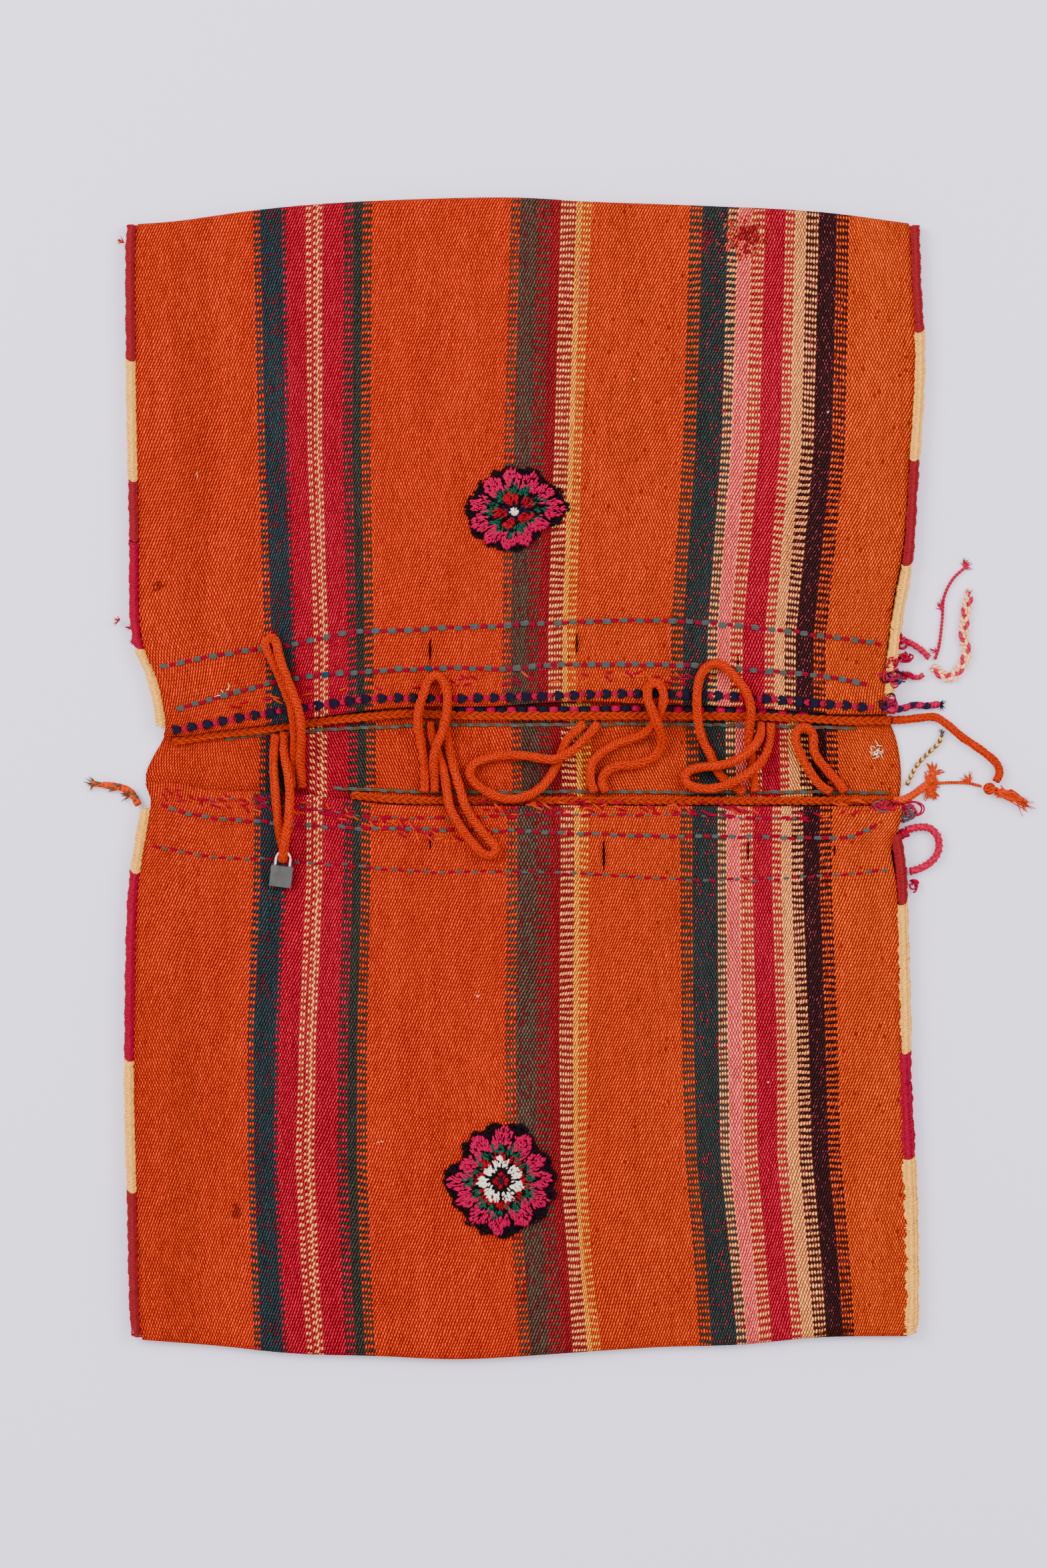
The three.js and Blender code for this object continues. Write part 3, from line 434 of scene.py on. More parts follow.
LEFT_EDGE = [
    (-466, -315), (-448, -317), (-350, -319.5), (-250, -321.8), (-118, -320), (-85, -318), (-52, -313),
    (-24, -308.5), (-15, -308.5), (-6, -312.5), (4, -313), (18, -307), (32, -299), (42, -296), (80, -302.5),
    (113, -315), (212, -318), (344, -320.5), (452, -320), (462, -318),
]
RIGHT_EDGE = [
    (-464, 315), (-448, 317), (-349, 316.5), (-250, 311.5), (-151, 309), (-68, 305.5), (-48, 302),
    (-38, 302), (-22, 308.5), (0, 311), (30, 307), (48, 300), (60, 296), (68, 296), (130, 303), (179, 311.5),
    (245, 316), (344, 321.7), (409, 318.5), (452, 317), (462, 316),
]
TOP_EDGE = [(-322, 457.5), (-289, 460), (-223, 469), (-157, 475), (-14, 479.6), (57, 476), (140, 473), (239, 468), (322, 458)]
BOTTOM_EDGE = [
    (-322, -463.5), (-256, -468.5), (-190, -475), (-124, -477), (-58, -479.6), (41, -473.5), (107, -469.5),
    (173, -467.5), (239, -461.5), (322, -460.5),
]
UPPER_MOUTH = [
    (-300, 35), (-247, 41.5), (-212, 45), (-181, 50), (-129, 56), (-94, 59), (-19, 59.5), (12, 61.5),
    (60, 63.5), (125, 61), (188, 59), (236, 56), (273, 53), (305, 53),
]
LOWER_MOUTH = [
    (-315, -4), (-300, -3), (-267, -9), (-212, -11.5), (-143, -17.5), (-115, -21.5), (-87, -22.5),
    (40, -22.5), (167, -23), (273, -23), (310, -22.5),
]
# Where fifteen boundaries between stripes run, mm across, at levels up the cloth. The first row is
# their place in the pattern.
BOUNDARIES = [-219.5, -181.5, -165.5, -125.5, -11.5, 22.5, 41, 54.5, 136, 165.5, 176.5, 198, 221, 241, 266]
UPPER_DRIFT = {
    465: BOUNDARIES,
    256: [-215, -180, -166, -127, -17.5, 17, 35, 46, 130, 159.5, 170, 193, 216.5, 236, 262],
    98: [-209.5, -174.5, -161, -124.5, -19, 12, 29.5, 41, 120, 148, 158.5, 179, 204, 221.5, 246.5],
}
BRIDGE_DRIFT = {25: [-215, -179, -162, -123, -11.5, 22.5, 40.5, 53.5, 132.5, 163, 174, 195.5, 215.5, 235, 257]}
LOWER_DRIFT = {
    -74: [-219, -181, -165.5, -127, -15.5, 22.5, 39, 51.5, 127.5, 156.5, 166, 187.5, 209.5, 227.5, 251.5],
    -200: [-224.5, -187, -170.5, -130, -17, 21.5, 38, 50.5, 129, 157, 167, 190.5, 213.5, 232, 256],
    -305: [-224, -190, -172, -130, -16, 23, 39, 49, 132, 158.5, 169, 191.5, 214, 235, 258.5],
    -393: [-221, -185, -168.5, -126.5, -9, 29.5, 45, 54, 139.5, 167, 177.5, 198.5, 220.5, 242.5, 266],
    -461: [-218.5, -180, -164.5, -123, -4.5, 32, 50, 61.5, 143.5, 172, 183, 203, 226.5, 247, 270.5],
}
BACK_DRIFT = {465: UPPER_DRIFT[465], 25: BRIDGE_DRIFT[25], -461: LOWER_DRIFT[-461]}
SLITS = [  # across, lowest and highest
    (-77.5, 97, 115), (45.5, 98.5, 119), (176, 91.5, 105.5),
    (-75, -57, -46), (64, -78.5, -50.5), (182.5, -69, -50.5), (252.5, -63, -53.5),
]
FOLD = 5.7  # outside radius of a fold
CELL = 6.3  # mm between neighbouring points of the cloth
HALF = 320.0  # half of the strip's width in the pattern


def edge(stations):
    """A smooth function through pairs of numbers."""
    line = smooth(stations, 2.0)
    return lambda t: np.interp(t, line[:, 0], line[:, 1])


left_edge, right_edge, top_edge, bottom_edge = (edge(e) for e in (LEFT_EDGE, RIGHT_EDGE, TOP_EDGE, BOTTOM_EDGE))
upper_mouth, lower_mouth = edge(UPPER_MOUTH), edge(LOWER_MOUTH)
columns = np.linspace(-HALF, HALF, round(2 * HALF / CELL) + 1)


def across(y, drift):
    """Where each column of warps runs, for an array of levels with one row per level."""
    levels = sorted(drift)
    keys = np.array([drift[level] for level in levels])
    at = np.stack([np.interp(y[:, 0], levels, keys[:, k]) for k in range(keys.shape[1])], axis=1)
    rows = []
    for level, row in zip(y[:, 0], at):
        stations = [left_edge(level), *row, right_edge(level)]
        rows.append(np.interp(columns, [-HALF, *BOUNDARIES, HALF], stations))
    return np.array(rows)


def waves(x, y, seed, size):
    """Slow, shallow unevenness, from about -1 to 1."""
    r = np.random.default_rng(seed)
    total = np.zeros_like(x)
    for _ in range(7):
        a, far = r.uniform(0, 2 * math.pi), size * r.uniform(0.6, 1.7)
        total += np.sin((x * math.cos(a) + y * math.sin(a)) * 2 * math.pi / far + r.uniform(0, 6.28))
    return total / 4


def span(start, end):
    """Rows of the cloth from one curve to another: shares from 0 to 1 and the rows' levels."""
    count = round(abs(end.mean() - start.mean()) / CELL)
    t = np.linspace(0, 1, count + 1)[:, None]
    return t, start + (end - start) * t


top, bottom = top_edge(columns) - FOLD, bottom_edge(columns) + FOLD
sections = []  # (across, level, height, thread length) of each run of rows from mouth to mouth
t, y = span(upper_mouth(columns), top)
x = across(y, UPPER_DRIFT)
lift = 0.8 * waves(x, y, 1, 160) * np.clip(5 * t * (1 - t), 0, 1) + 0.5 * waves(x, y, 3, 34) * np.exp(-(y - 60) / 35)
sections.append((x, y, 2 * FOLD + lift))
for step in range(1, 5):
    a = math.pi / 2 - math.pi * step / 5
    y = (top + FOLD * math.cos(a))[None]
    sections.append((across(y, {465: BOUNDARIES}), y, np.full(y.shape, FOLD + FOLD * math.sin(a))))
t, y = span(top, bottom)
x = across(y, BACK_DRIFT)
puff = 0.7 * (1 + waves(x, y, 5, 70)) * np.exp(-(((y - 18) / 26) ** 2)) * np.exp(-((x / 290) ** 8))
sections.append((x, y, puff))
for step in range(1, 5):
    a = -math.pi / 2 - math.pi * step / 5
    y = (bottom + FOLD * math.cos(a))[None]
    sections.append((across(y, {-461: LOWER_DRIFT[-461]}), y, np.full(y.shape, FOLD + FOLD * math.sin(a))))
t, y = span(bottom, lower_mouth(columns))
x = across(y, LOWER_DRIFT)
lift = 0.8 * waves(x, y, 2, 170) * np.clip(5 * t * (1 - t), 0, 1) + 0.5 * waves(x, y, 4, 34) * np.exp((y + 22) / 35)
sections.append((x, y, 2 * FOLD + lift))
x, y, z = (np.concatenate([s[k] for s in sections]) for k in range(3))
middle = len(columns) // 2
path = np.stack([y[:, middle], z[:, middle]], axis=1)
thread = np.concatenate([[0], np.cumsum(np.linalg.norm(np.diff(path, axis=0), axis=1))])
rows, width = x.shape
points = np.stack([x, y, z], axis=2).reshape(-1, 3)
weave = np.stack([np.broadcast_to(columns, x.shape), np.broadcast_to(thread[:, None], x.shape), np.zeros_like(x)], axis=2).reshape(-1, 3)
i, j = [g.ravel() for g in np.meshgrid(np.arange(rows - 1), np.arange(width - 1), indexing="ij")]
quads = np.stack([i * width + j, i * width + j + 1, (i + 1) * width + j + 1, (i + 1) * width + j], axis=1)
extra_points, extra_weave = [], []
for at, low, high in SLITS:  # the points of a slit are doubled and drawn apart
    on_flap = np.flatnonzero((z[:, middle] > FOLD) & (y[:, middle] > low + 1) & (y[:, middle] < high - 1))
    column = int(np.abs(x[on_flap[0]] - at).argmin())
    for row in on_flap:
        old, new = row * width + column, len(points) + len(extra_points)
        open_by = 0.85 * math.sin(math.pi * (y[row, column] - low) / (high - low)) + 0.2
        extra_points.append(points[old] + [open_by, 0, -0.3])
        extra_weave.append(weave[old])
        points[old] -= [open_by, 0, 0.2]
        right = (quads == old) & (j == column)[:, None]
        quads[right] = new
points, weave = np.concatenate([points, extra_points]), np.concatenate([weave, extra_weave])

mesh = bpy.data.meshes.new("woven_strip_cloth")
mesh.from_pydata((points * MM).tolist(), [], quads.tolist())
mesh.attributes.new("weave", "FLOAT_VECTOR", "POINT").data.foreach_set("vector", weave.astype(np.float32).ravel())
mesh.polygons.foreach_set("use_smooth", np.ones(len(quads), bool))
cloth = bpy.data.objects.new("woven_strip_cloth", mesh)
bpy.context.scene.collection.objects.link(cloth)
thickness = cloth.modifiers.new("thickness", "SOLIDIFY")
thickness.thickness, thickness.offset = 2.2 * MM, -1

# The stripes from left to right: where each begins in the pattern, and the colours of its odd and
# even warps. Where the two differ, the weave shows them as rows of dashes.
O, OM, OD, TEAL, GREEN, OLIVE = "#d4350a", "#d43e0a", "#d8480a", "#2b3b40", "#363a33", "#554438"
RED, CRIMSON, DARK_RED, CREAM, STRAW = "#b40e30", "#b61032", "#8f1c25", "#ffae62", "#ffa634"
ROSE, BLACK, PINE = "#ff6c68", "#341b1d", "#303a39"
SPECKS = {BLACK: (0.26, "#6e2c34"), PINE: (0.14, "#9a1c30"), TEAL: (0.16, "#801824"), OLIVE: (0.16, "#801824"), OM: (0.005, "#8a1604"), OD: (0.007, "#8a1604")}  # share of ovals another warp peeps through, and its colour
STRIPES = [
    (-320, O, O), (-222.5, O, TEAL), (-218, TEAL, TEAL), (-200, TEAL, CRIMSON), (-197.5, RED, RED),
    (-181.5, CREAM, RED), (-176, RED, CREAM), (-171, CREAM, RED), (-165.5, RED, RED), (-149, RED, GREEN),
    (-141.5, GREEN, GREEN), (-133, O, GREEN), (-125.5, O, O), (-11.5, O, OLIVE), (-3.5, OLIVE, OLIVE),
    (12.5, DARK_RED, OLIVE), (22.5, DARK_RED, DARK_RED), (29.5, CREAM, DARK_RED), (41, STRAW, STRAW),
    (47, STRAW, OM), (54.5, OM, OM), (136, OM, GREEN), (146, PINE, PINE), (165.5, CREAM, PINE),
    (176.5, ROSE, ROSE), (186, CREAM, CRIMSON), (198, CRIMSON, CRIMSON), (213, CREAM, CRIMSON), (221, CREAM, CREAM),
    (231.5, CREAM, BLACK), (241, BLACK, BLACK), (257.5, OD, BLACK), (266, OD, OD),
]
STAINS = [  # place, half width and length, how patchy, how strong, colour
    (182, 446, 19, 20, 0.5, 0.85, "#e0503c"), (185, 446, 17, 17, 0.56, 0.9, "#85081e"), (150, 440, 9, 22, 0.62, 0.6, "#85081e"), (46, 408, 6, 60, 0.6, 0.5, "#c05048"),
    (-277, 330, 12, 190, 0.3, 0.16, "#5c2c14"), (-283, -300, 12, 190, 0.3, 0.16, "#5c2c14"),
    (-238.7, -357, 5, 5, 0.45, 0.6, "#3a1408"), (-302, 159, 5, 4, 0.45, 0.6, "#3a1408"), (258, -458, 14, 8, 0.5, 0.7, "#3a1408"),
]
WARP = 2.34  # mm between warps of the same row
PICK = 5.5  # mm for two picks of weft


def warp_faced_weave():
    """Warp-faced plain weave of hand-spun wool: slanted ovals of warp in two staggered rows that close over the weft,
    with painted shade in the gaps between them. It gives the cloth its grain and breaks stripes into dashes, and the
    dye varies from thread to thread and along each thread.
    """
    material, tree, shader = new_material("warp_faced_handspun_wool_weave")
    thread = add(tree, "Attribute", attribute_name="weave").outputs["Vector"]
    u, v, _ = add(tree, "SeparateXYZ", {0: thread}).outputs
    drift = add(tree, "TexNoise", {"Vector": thread, "Scale": 0.02, "Detail": 1.0}).outputs["Fac"]
    jitter = add(tree, "TexNoise", {"Vector": thread, "Scale": 0.35, "Detail": 1.0})
    jx, jy, _ = add(tree, "SeparateXYZ", {0: jitter.outputs["Color"]}).outputs
    u1 = maths(tree, "MULTIPLY_ADD", jx, 0.9, u)
    v1 = maths(tree, "MULTIPLY_ADD", jy, 2.2, maths(tree, "MULTIPLY_ADD", drift, 9.0, v))
    lean = maths(tree, "MULTIPLY_ADD", add(tree, "TexNoise", {"Vector": thread, "Scale": 0.009, "Detail": 0.0}).outputs["Fac"], -5.0, 1.35)
    heights, colours, numbers = [], [], []
    for parity in (0, 1):
        row = maths(tree, "MULTIPLY_ADD", v1, 1 / PICK, 0.5 * parity)
        low = maths(tree, "SUBTRACT", maths(tree, "FRACT", row), 0.5)
        column = maths(tree, "MULTIPLY_ADD", maths(tree, "MULTIPLY_ADD", low, lean, u1), 1 / WARP, 0.5 * parity)
        beside = maths(tree, "SUBTRACT", maths(tree, "FRACT", column), 0.5)
        number = maths(tree, "FLOOR", column)
        oval = add(tree, "CombineXYZ", {0: number, 1: maths(tree, "FLOOR", row), 2: 3.1 * parity}).outputs[0]
        chance = add(tree, "TexWhiteNoise", {"Vector": oval}).outputs["Value"]
        wide = maths(tree, "POWER", maths(tree, "MULTIPLY", beside, 2.7), 2.0)
        long = maths(tree, "POWER", maths(tree, "MULTIPLY", low, 2.9), 2.0)
        height = maths(tree, "MULTIPLY_ADD", chance, 0.24, maths(tree, "SUBTRACT", maths(tree, "SUBTRACT", 0.9, wide), long))
        heights.append(height)
        centre = maths(tree, "MULTIPLY", maths(tree, "SUBTRACT", maths(tree, "ADD", number, 0.5), 0.5 * parity), WARP)
        place = maths(tree, "DIVIDE", maths(tree, "ADD", centre, HALF), 2 * HALF)
        dyes = []
        for peeping in (False, True):
            ramp = add(tree, "ValToRGB", {0: place})
            ramp.color_ramp.interpolation = "CONSTANT"
            last = None
            for start, *pair in STRIPES:
                if pair[parity] == last:
                    continue
                if last is None:
                    stop = ramp.color_ramp.elements[0]
                    stop.position = 0
                    ramp.color_ramp.elements.remove(ramp.color_ramp.elements[1])
                else:
                    stop = ramp.color_ramp.elements.new((start + HALF) / (2 * HALF))
                last = pair[parity]
                share, other = SPECKS.get(last, (0.0, last))
                stop.color = (*rgb(other if peeping else last)[:3], share)
            dyes.append(ramp.outputs)
        speck = maths(tree, "MULTIPLY", maths(tree, "LESS_THAN", chance, dyes[0][1]), maths(tree, "GREATER_THAN", height, 0.5))
        colours.append(blend(tree, speck, dyes[0][0], dyes[1][0]))
        numbers.append(maths(tree, "MULTIPLY_ADD", chance, 0.3, maths(tree, "ADD", number, 0.37 * parity)))
    second = maths(tree, "GREATER_THAN", heights[1], heights[0])
    height = maths(tree, "MAXIMUM", *heights)
    colour = blend(tree, second, colours[0], colours[1])
    number = maths(tree, "ADD", maths(tree, "MULTIPLY", second, numbers[1]), maths(tree, "MULTIPLY", maths(tree, "SUBTRACT", 1.0, second), numbers[0]))
    skein = add(tree, "TexWhiteNoise", {"W": number}, noise_dimensions="1D").outputs["Value"]
    along = add(tree, "TexNoise", {"Vector": add(tree, "CombineXYZ", {0: number, 1: maths(tree, "MULTIPLY", v, 0.045)}).outputs[0], "Scale": 1.0, "Detail": 2.0}).outputs["Fac"]
    bands = add(tree, "TexNoise", {"Vector": add(tree, "CombineXYZ", {0: maths(tree, "MULTIPLY", u, 0.05), 1: maths(tree, "MULTIPLY", v, 0.006)}).outputs[0], "Scale": 1.0, "Detail": 2.0}).outputs["Fac"]
    fibre = add(tree, "TexNoise", {"Vector": add(tree, "CombineXYZ", {0: maths(tree, "MULTIPLY", u1, 5.0), 1: maths(tree, "MULTIPLY_ADD", v1, 0.9, maths(tree, "MULTIPLY", u1, 1.6))}).outputs[0], "Scale": 1.0, "Detail": 2.0}).outputs["Fac"]
    value = maths(tree, "MULTIPLY_ADD", skein, 0.24, maths(tree, "MULTIPLY_ADD", along, 0.7, maths(tree, "MULTIPLY_ADD", bands, 0.5, 0.28)))
    value = maths(tree, "MULTIPLY_ADD", fibre, 0.6, maths(tree, "SUBTRACT", value, 0.3))
    at = add(tree, "TexCoord").outputs["Object"]
    blotches = add(tree, "TexNoise", {"Vector": at, "Scale": 320.0, "Detail": 2.0}).outputs["Fac"]
    for x, y, half_wide, half_long, least, most, stain in STAINS:
        from_middle = add(tree, "VectorMath", {0: at, 1: (x * MM, y * MM, FLAP_TOP * MM)}, operation="SUBTRACT").outputs[0]
        from_middle = add(tree, "VectorMath", {0: from_middle, 1: (1000 / half_wide, 1000 / half_long, 20.0)}, operation="MULTIPLY").outputs[0]
        reach = add(tree, "VectorMath", {0: from_middle}, operation="LENGTH").outputs["Value"]
        soaked = maths(tree, "SUBTRACT", maths(tree, "ADD", blotches, 0.25), maths(tree, "MULTIPLY", reach, 0.3))
        soaked = add(tree, "MapRange", {"Value": soaked, "From Min": least, "From Max": least + 0.05, "To Max": most}).outputs[0]
        colour = blend(tree, soaked, colour, rgb(stain))
    varied = add(tree, "HueSaturation", {"Color": colour, "Value": value}).outputs[0]
    # painted shade: where the ovals are low, in the gaps between them, the colour is multiplied toward dark red
    groove_shade_share = add(tree, "MapRange", {"Value": height, "From Min": 0.05, "From Max": 0.86, "To Min": 1.0, "To Max": 0.0}, interpolation_type="SMOOTHSTEP").outputs[0]
    grooves = blend(tree, groove_shade_share, varied, (0.24, 0.085, 0.085, 1), "MULTIPLY")
    bump = add(tree, "Bump", {"Strength": 1.0, "Distance": 1.0 * MM, "Height": maths(tree, "MULTIPLY_ADD", fibre, 0.22, maths(tree, "MAXIMUM", height, -0.3))})
    tree.links.new(grooves, shader.inputs["Base Color"])
    tree.links.new(bump.outputs[0], shader.inputs["Normal"])
    shader.inputs["Roughness"].default_value = 0.95
    shader.inputs["Specular IOR Level"].default_value = 0.03
    return material


cloth.data.materials.append(warp_faced_weave())
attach(cloth, "bag")
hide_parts("woven_strip")

# ---- bindings ----------------------------------------------------------------------------------
# Both long edges are overcast with thick wool yarn in cream, crimson and dark red, which closes the
# pockets' sides. The wraps slant and meet along the top in a herringbone.

cream_wool = plied_wool("cream_wool_binding_yarn", "#ffba4e", "#6e3014", 2, 4, 0.3)
crimson_wool = plied_wool("crimson_wool_binding_yarn", "#98062c", "#4e0a18", 2, 4, 0.3)
dark_red_wool = plied_wool("dark_red_wool_binding_yarn", "#8a1c24", "#4a0d12", 2, 4, 0.3)
BINDINGS = [  # CAD node, yarn, lowest and highest
    ("left_binding_upper_red", "dark_red", 342, 456), ("left_binding_upper_cream", "cream", 243, 342),
    ("left_binding_upper_red_short", "dark_red", 193, 243), ("left_binding_upper_crimson", "crimson", 105, 193),
    ("left_binding_mouth_cream", "cream", 42, 105), ("left_binding_lower_cream", "cream", -80, -25),
    ("left_binding_lower_crimson", "crimson", -235, -80), ("left_binding_lower_cream_long", "cream", -343, -235),
    ("left_binding_lower_red", "dark_red", -461, -343), ("right_binding_upper_red", "dark_red", 366, 456),
    ("right_binding_upper_cream", "cream", 260, 366), ("right_binding_upper_red_lower", "dark_red", 174, 260),
    ("right_binding_upper_cream_short", "cream", 121, 174), ("right_binding_mouth_cream", "cream", 66, 121),
    ("right_binding_lower_red", "dark_red", -106, -46), ("right_binding_lower_cream", "cream", -229, -106),
    ("right_binding_lower_crimson", "crimson", -315, -229), ("right_binding_lower_cream_long", "cream", -459, -315),
]
YARNS = {"cream": cream_wool, "crimson": crimson_wool, "dark_red": dark_red_wool}
BINDING = 3.8  # half the thickness of the wrapped edge; it is half as deep again
WRAP = 1.3  # mm along the edge from one wrap to the next
THICKER = {"right_binding_lower_crimson": 1.38, "right_binding_lower_cream_long": 1.42, "right_binding_lower_cream": 1.12}


def wraps(low, high, edge_line, side, wide, number, open_ends):
    """Slanting wraps of yarn around an edge, two to a turn so that they cross in a V along the top."""
    parts = []
    for n, level in enumerate(np.arange(low, high, WRAP)):
        level += rng.normal(0, 0.12)
        swell = 1 + 0.06 * math.sin(level * 0.21 + side) + 0.06 * math.sin(n * 0.83 + number) + rng.normal(0, 0.03)
        steep = 4.4 * min(1, (level - low + 0.5) / 6 if open_ends[0] else 1, (high - level + 0.3) / 6 if open_ends[1] else 1)
        for half in (0, 1):
            a = np.linspace(-0.3, 3.5, 8) if half else np.linspace(-3.5, 0.3, 8)
            y = level + steep * np.minimum(np.abs(a) / (math.pi / 2), 1) + half * WRAP / 2
            out = BINDING * swell
            middle = edge_line(np.clip(y, low, high)) + side * (3.7 - 7 * (wide - 1))
            x = middle + side * out * np.sin(a) * 1.22 * wide
            z = 6.5 + 1.5 * out * np.cos(a) * (1 + 0.05 * half)
            path = np.stack([x, y, z], axis=1)
            middle_line = np.stack([middle, y, np.full(len(y), 6.5)], axis=1)
            parts.append(tube(path, 0.76, path - middle_line, 4, 0.85, number + n + half * 0.5, 0))
    return parts


for number, (name, yarn, low, high) in enumerate(BINDINGS):
    side = -1 if name.startswith("left") else 1
    line = left_edge if side < 0 else right_edge
    wide = THICKER.get(name, 1)
    along = [b for b in BINDINGS if b[0][:4] == name[:4]]
    open_ends = (low not in [b[3] for b in along], high not in [b[2] for b in along])
    parts = wraps(low + 1, high - (1 if open_ends[1] else 0.2), line, side, wide, number * 100, open_ends)
    piece(name + "_wraps", parts, [YARNS[yarn]], [name])

# ---- rows of stitches on the flaps -------------------------------------------------------------
# Decorative rows are worked through each flap beside its mouth: bundles of grey wool between flat
# crimson stitches, and on the upper flap a row of navy and pink chevrons along the hem.

red_wool = plied_wool("madder_red_wool_stitches", "#8e0126", "#4c0a15", 3, 6, 0.25)
teal_wool = plied_wool("teal_blue_wool_tufts", "#204257", "#0c1824", 3, 6, 0.3)
GREY_ROWS = {  # route of the row, height and width of a grey bundle, its pitch
    "upper_flap_row_top": ([
        (-300, 92), (-242, 103.5), (-198, 109), (-144, 120), (-113, 122), (-28, 125.5), (47, 129), (113, 130),
        (165, 126.5), (234, 119), (285, 111.5), (296, 109)], 2.0, 4.1, 13.6),
    "upper_flap_row_middle": ([
        (-286, 57), (-252, 67), (-210, 78), (-181, 83.5), (-128, 88), (-54, 91), (-16, 90), (20, 93), (111, 93.5),
        (143, 93), (188, 89), (257, 82.5), (283, 76.5)], 2.1, 4.3, 12.2),
}
for name, (route, tall, wide, pitch) in GREY_ROWS.items():
    parts = []
    for n, place, heading in places(route, pitch / 2, 0.05):
        if n % 2:
            parts += stitch(place, heading, 6.2, 3.2, 1.1, 3, n, 1, FLAP_TOP)
        else:
            teal = name.endswith("middle") and (abs(place[0] + 164) < 5 or abs(place[0] + 84) < 5)
            size = rng.uniform(0.88, 1.1)
            parts += stitch(place, heading, 7.4 * size, wide * size, tall, 5, n, 2 if teal else 0, FLAP_TOP, rng.normal(0, 0.3))
    piece(name + "_stitches", parts, [grey_wool, red_wool, teal_wool], [name])

CHEVRONS = [
    (-290, 39.5), (-272, 42.5), (-230, 50.5), (-177, 59), (-124, 65.5), (-49, 66), (15, 67.5), (67, 69.5),
    (125, 69.5), (190, 66), (241, 62), (280, 58.5), (291, 58),
]
parts = []
for n, place, heading in places(CHEVRONS, 6.6, 0.03):
    navy = n % 2 == 0
    long, wide, tall, tilt, apart = (7.6, 4.2, 2.6, 0.36, 1.5) if navy else (5.8, 2.4, 1.8, -0.4, 1.0)
    for way in (-1, 1):
        off = np.array([-math.sin(heading), math.cos(heading)]) * way * apart
        parts += stitch(place + off, heading - way * tilt, long, wide, tall, 4 if navy else 3, n + way * 0.2, 0 if navy else 1, FLAP_TOP)
piece("upper_flap_chevron_stitches", parts, [navy_wool, pink_wool], ["upper_flap_chevron_row"])

# Loose crimson and orange stitches lie between the rows, slanted, where the embroidery was mended.
orange_thread = plied_wool("orange_wool_stitches", "#c23600", "#5f1811", 3, 6, 0.25)
SCATTER = {  # route, its half width, number of stitches
    "upper_flap_loose_stitches": ([(-262, 52), (-215, 64), (-130, 76), (-20, 81), (60, 84), (180, 80)], 4.5, 58),
    "lower_flap_loose_stitches": ([(-300, -12), (-250, -20), (-190, -23), (-140, -33), (-96, -43), (-40, -50)], 5.5, 90),
    "lower_flap_loose_stitches_right": ([(-60, -25), (20, -25), (90, -24), (160, -26), (230, -30), (285, -20)], 6, 84),
}
for name, (route, half, count) in SCATTER.items():
    line = smooth(route, 0.5)
    parts = []
    for n in range(count):
        i = int(rng.integers(1, len(line) - 1))
        d = line[i + 1] - line[i - 1]
        heading = math.atan2(d[1], d[0]) + (rng.normal(-0.5, 0.25) if n % 3 else rng.normal(0.1, 0.1))
        place = line[i] + [0, rng.uniform(-half, half)]
        parts += stitch(place, heading, rng.uniform(6, 11), 1.5, 0.9, 1 + n % 2, n, 0 if n % 5 < 3 else 1, FLAP_TOP, rng.normal(0, 0.4))
    piece(name, parts, [red_wool, orange_thread])

LOWER_ROWS = {  # route, pitch of a pair, sizes of a crimson and of a grey stitch as (long, wide, tall)
    "lower_flap_row_top": ([
        (-268, -17), (-221, -19), (-131, -31), (-66, -33), (21, -29), (61, -30.5), (132, -29.5), (195, -33),
        (237, -32)], 15.0, (8.6, 2.4, 1.2), (4.6, 1.6, 1.0)),
    "lower_flap_row_middle": ([
        (-300, -22), (-268, -31), (-210, -36.5), (-152, -40.5), (-94, -42), (-59, -43), (-22, -43), (39, -45.5),
        (119, -48), (192, -48), (237, -49), (271, -47.5), (289, -40)], 14.0, (7.0, 2.8, 1.3), (6.6, 3.0, 1.7)),
    "lower_flap_row_bottom": ([
        (-306, -56), (-264, -64), (-213, -67), (-149, -71.5), (-87, -76.5), (4, -77), (92, -81), (133, -83.5),
        (216, -82), (265, -79), (298, -75.5)], 13.5, (7.2, 2.0, 1.0), (6.0, 2.0, 1.1)),
}
for name, (route, pitch, red, grey) in LOWER_ROWS.items():
    parts = []
    for n, place, heading in places(route, pitch / 2, 0.07):
        long, wide, tall = grey if n % 2 else red
        parts += stitch(place, heading + rng.normal(0, 0.06), long, wide, tall, 3, n, n % 2, FLAP_TOP, rng.normal(0, 0.3))
    piece(name + "_stitches", parts, [red_wool, grey_wool], [name])

# ---- rosettes ----------------------------------------------------------------------------------
# Two round ornaments are sewn on, one in the middle of each flap: a pad of black wool pile with a
# scalloped edge, and on it rings of looped tufts, pink outside, then green and red, about a centre.

ROSETTES = {
    "upper_rosette": ((-8.5, 219.5), [
        (-42, 0), (-36, 16), (-25, 27), (-13, 35), (5, 38), (19, 33), (30, 25), (42, 13), (45, 1), (36, -10),
        (22, -17), (14, -27), (-2, -33), (-20, -29), (-35, -18)]),
    "lower_rosette": ((-20, -331), [
        (-49, -3), (-44, 9), (-34, 17), (-30, 31), (-19, 41), (-2, 47), (13, 48), (25, 39), (34, 26), (43, 14),
        (46, 0), (43, -20), (32, -33), (16, -44), (-5, -48), (-24, -39), (-37, -22)]),
}
black_pile = plied_wool("black_wool_cut_pile", "#1a1016", "#070406", 2, 5, 0.3)
hot_pink = plied_wool("neon_pink_wool_tufts", "#ae0042", "#6e0026", 2, 5, 0.3)
emerald = plied_wool("emerald_wool_tufts", "#10513c", "#052519", 2, 5, 0.3)
petal_red = plied_wool("deep_red_wool_tufts", "#960017", "#520812", 2, 5, 0.3)
white_wool = plied_wool("natural_white_wool_tufts", "#f4ecd8", "#6a5851", 2, 5, 0.3)
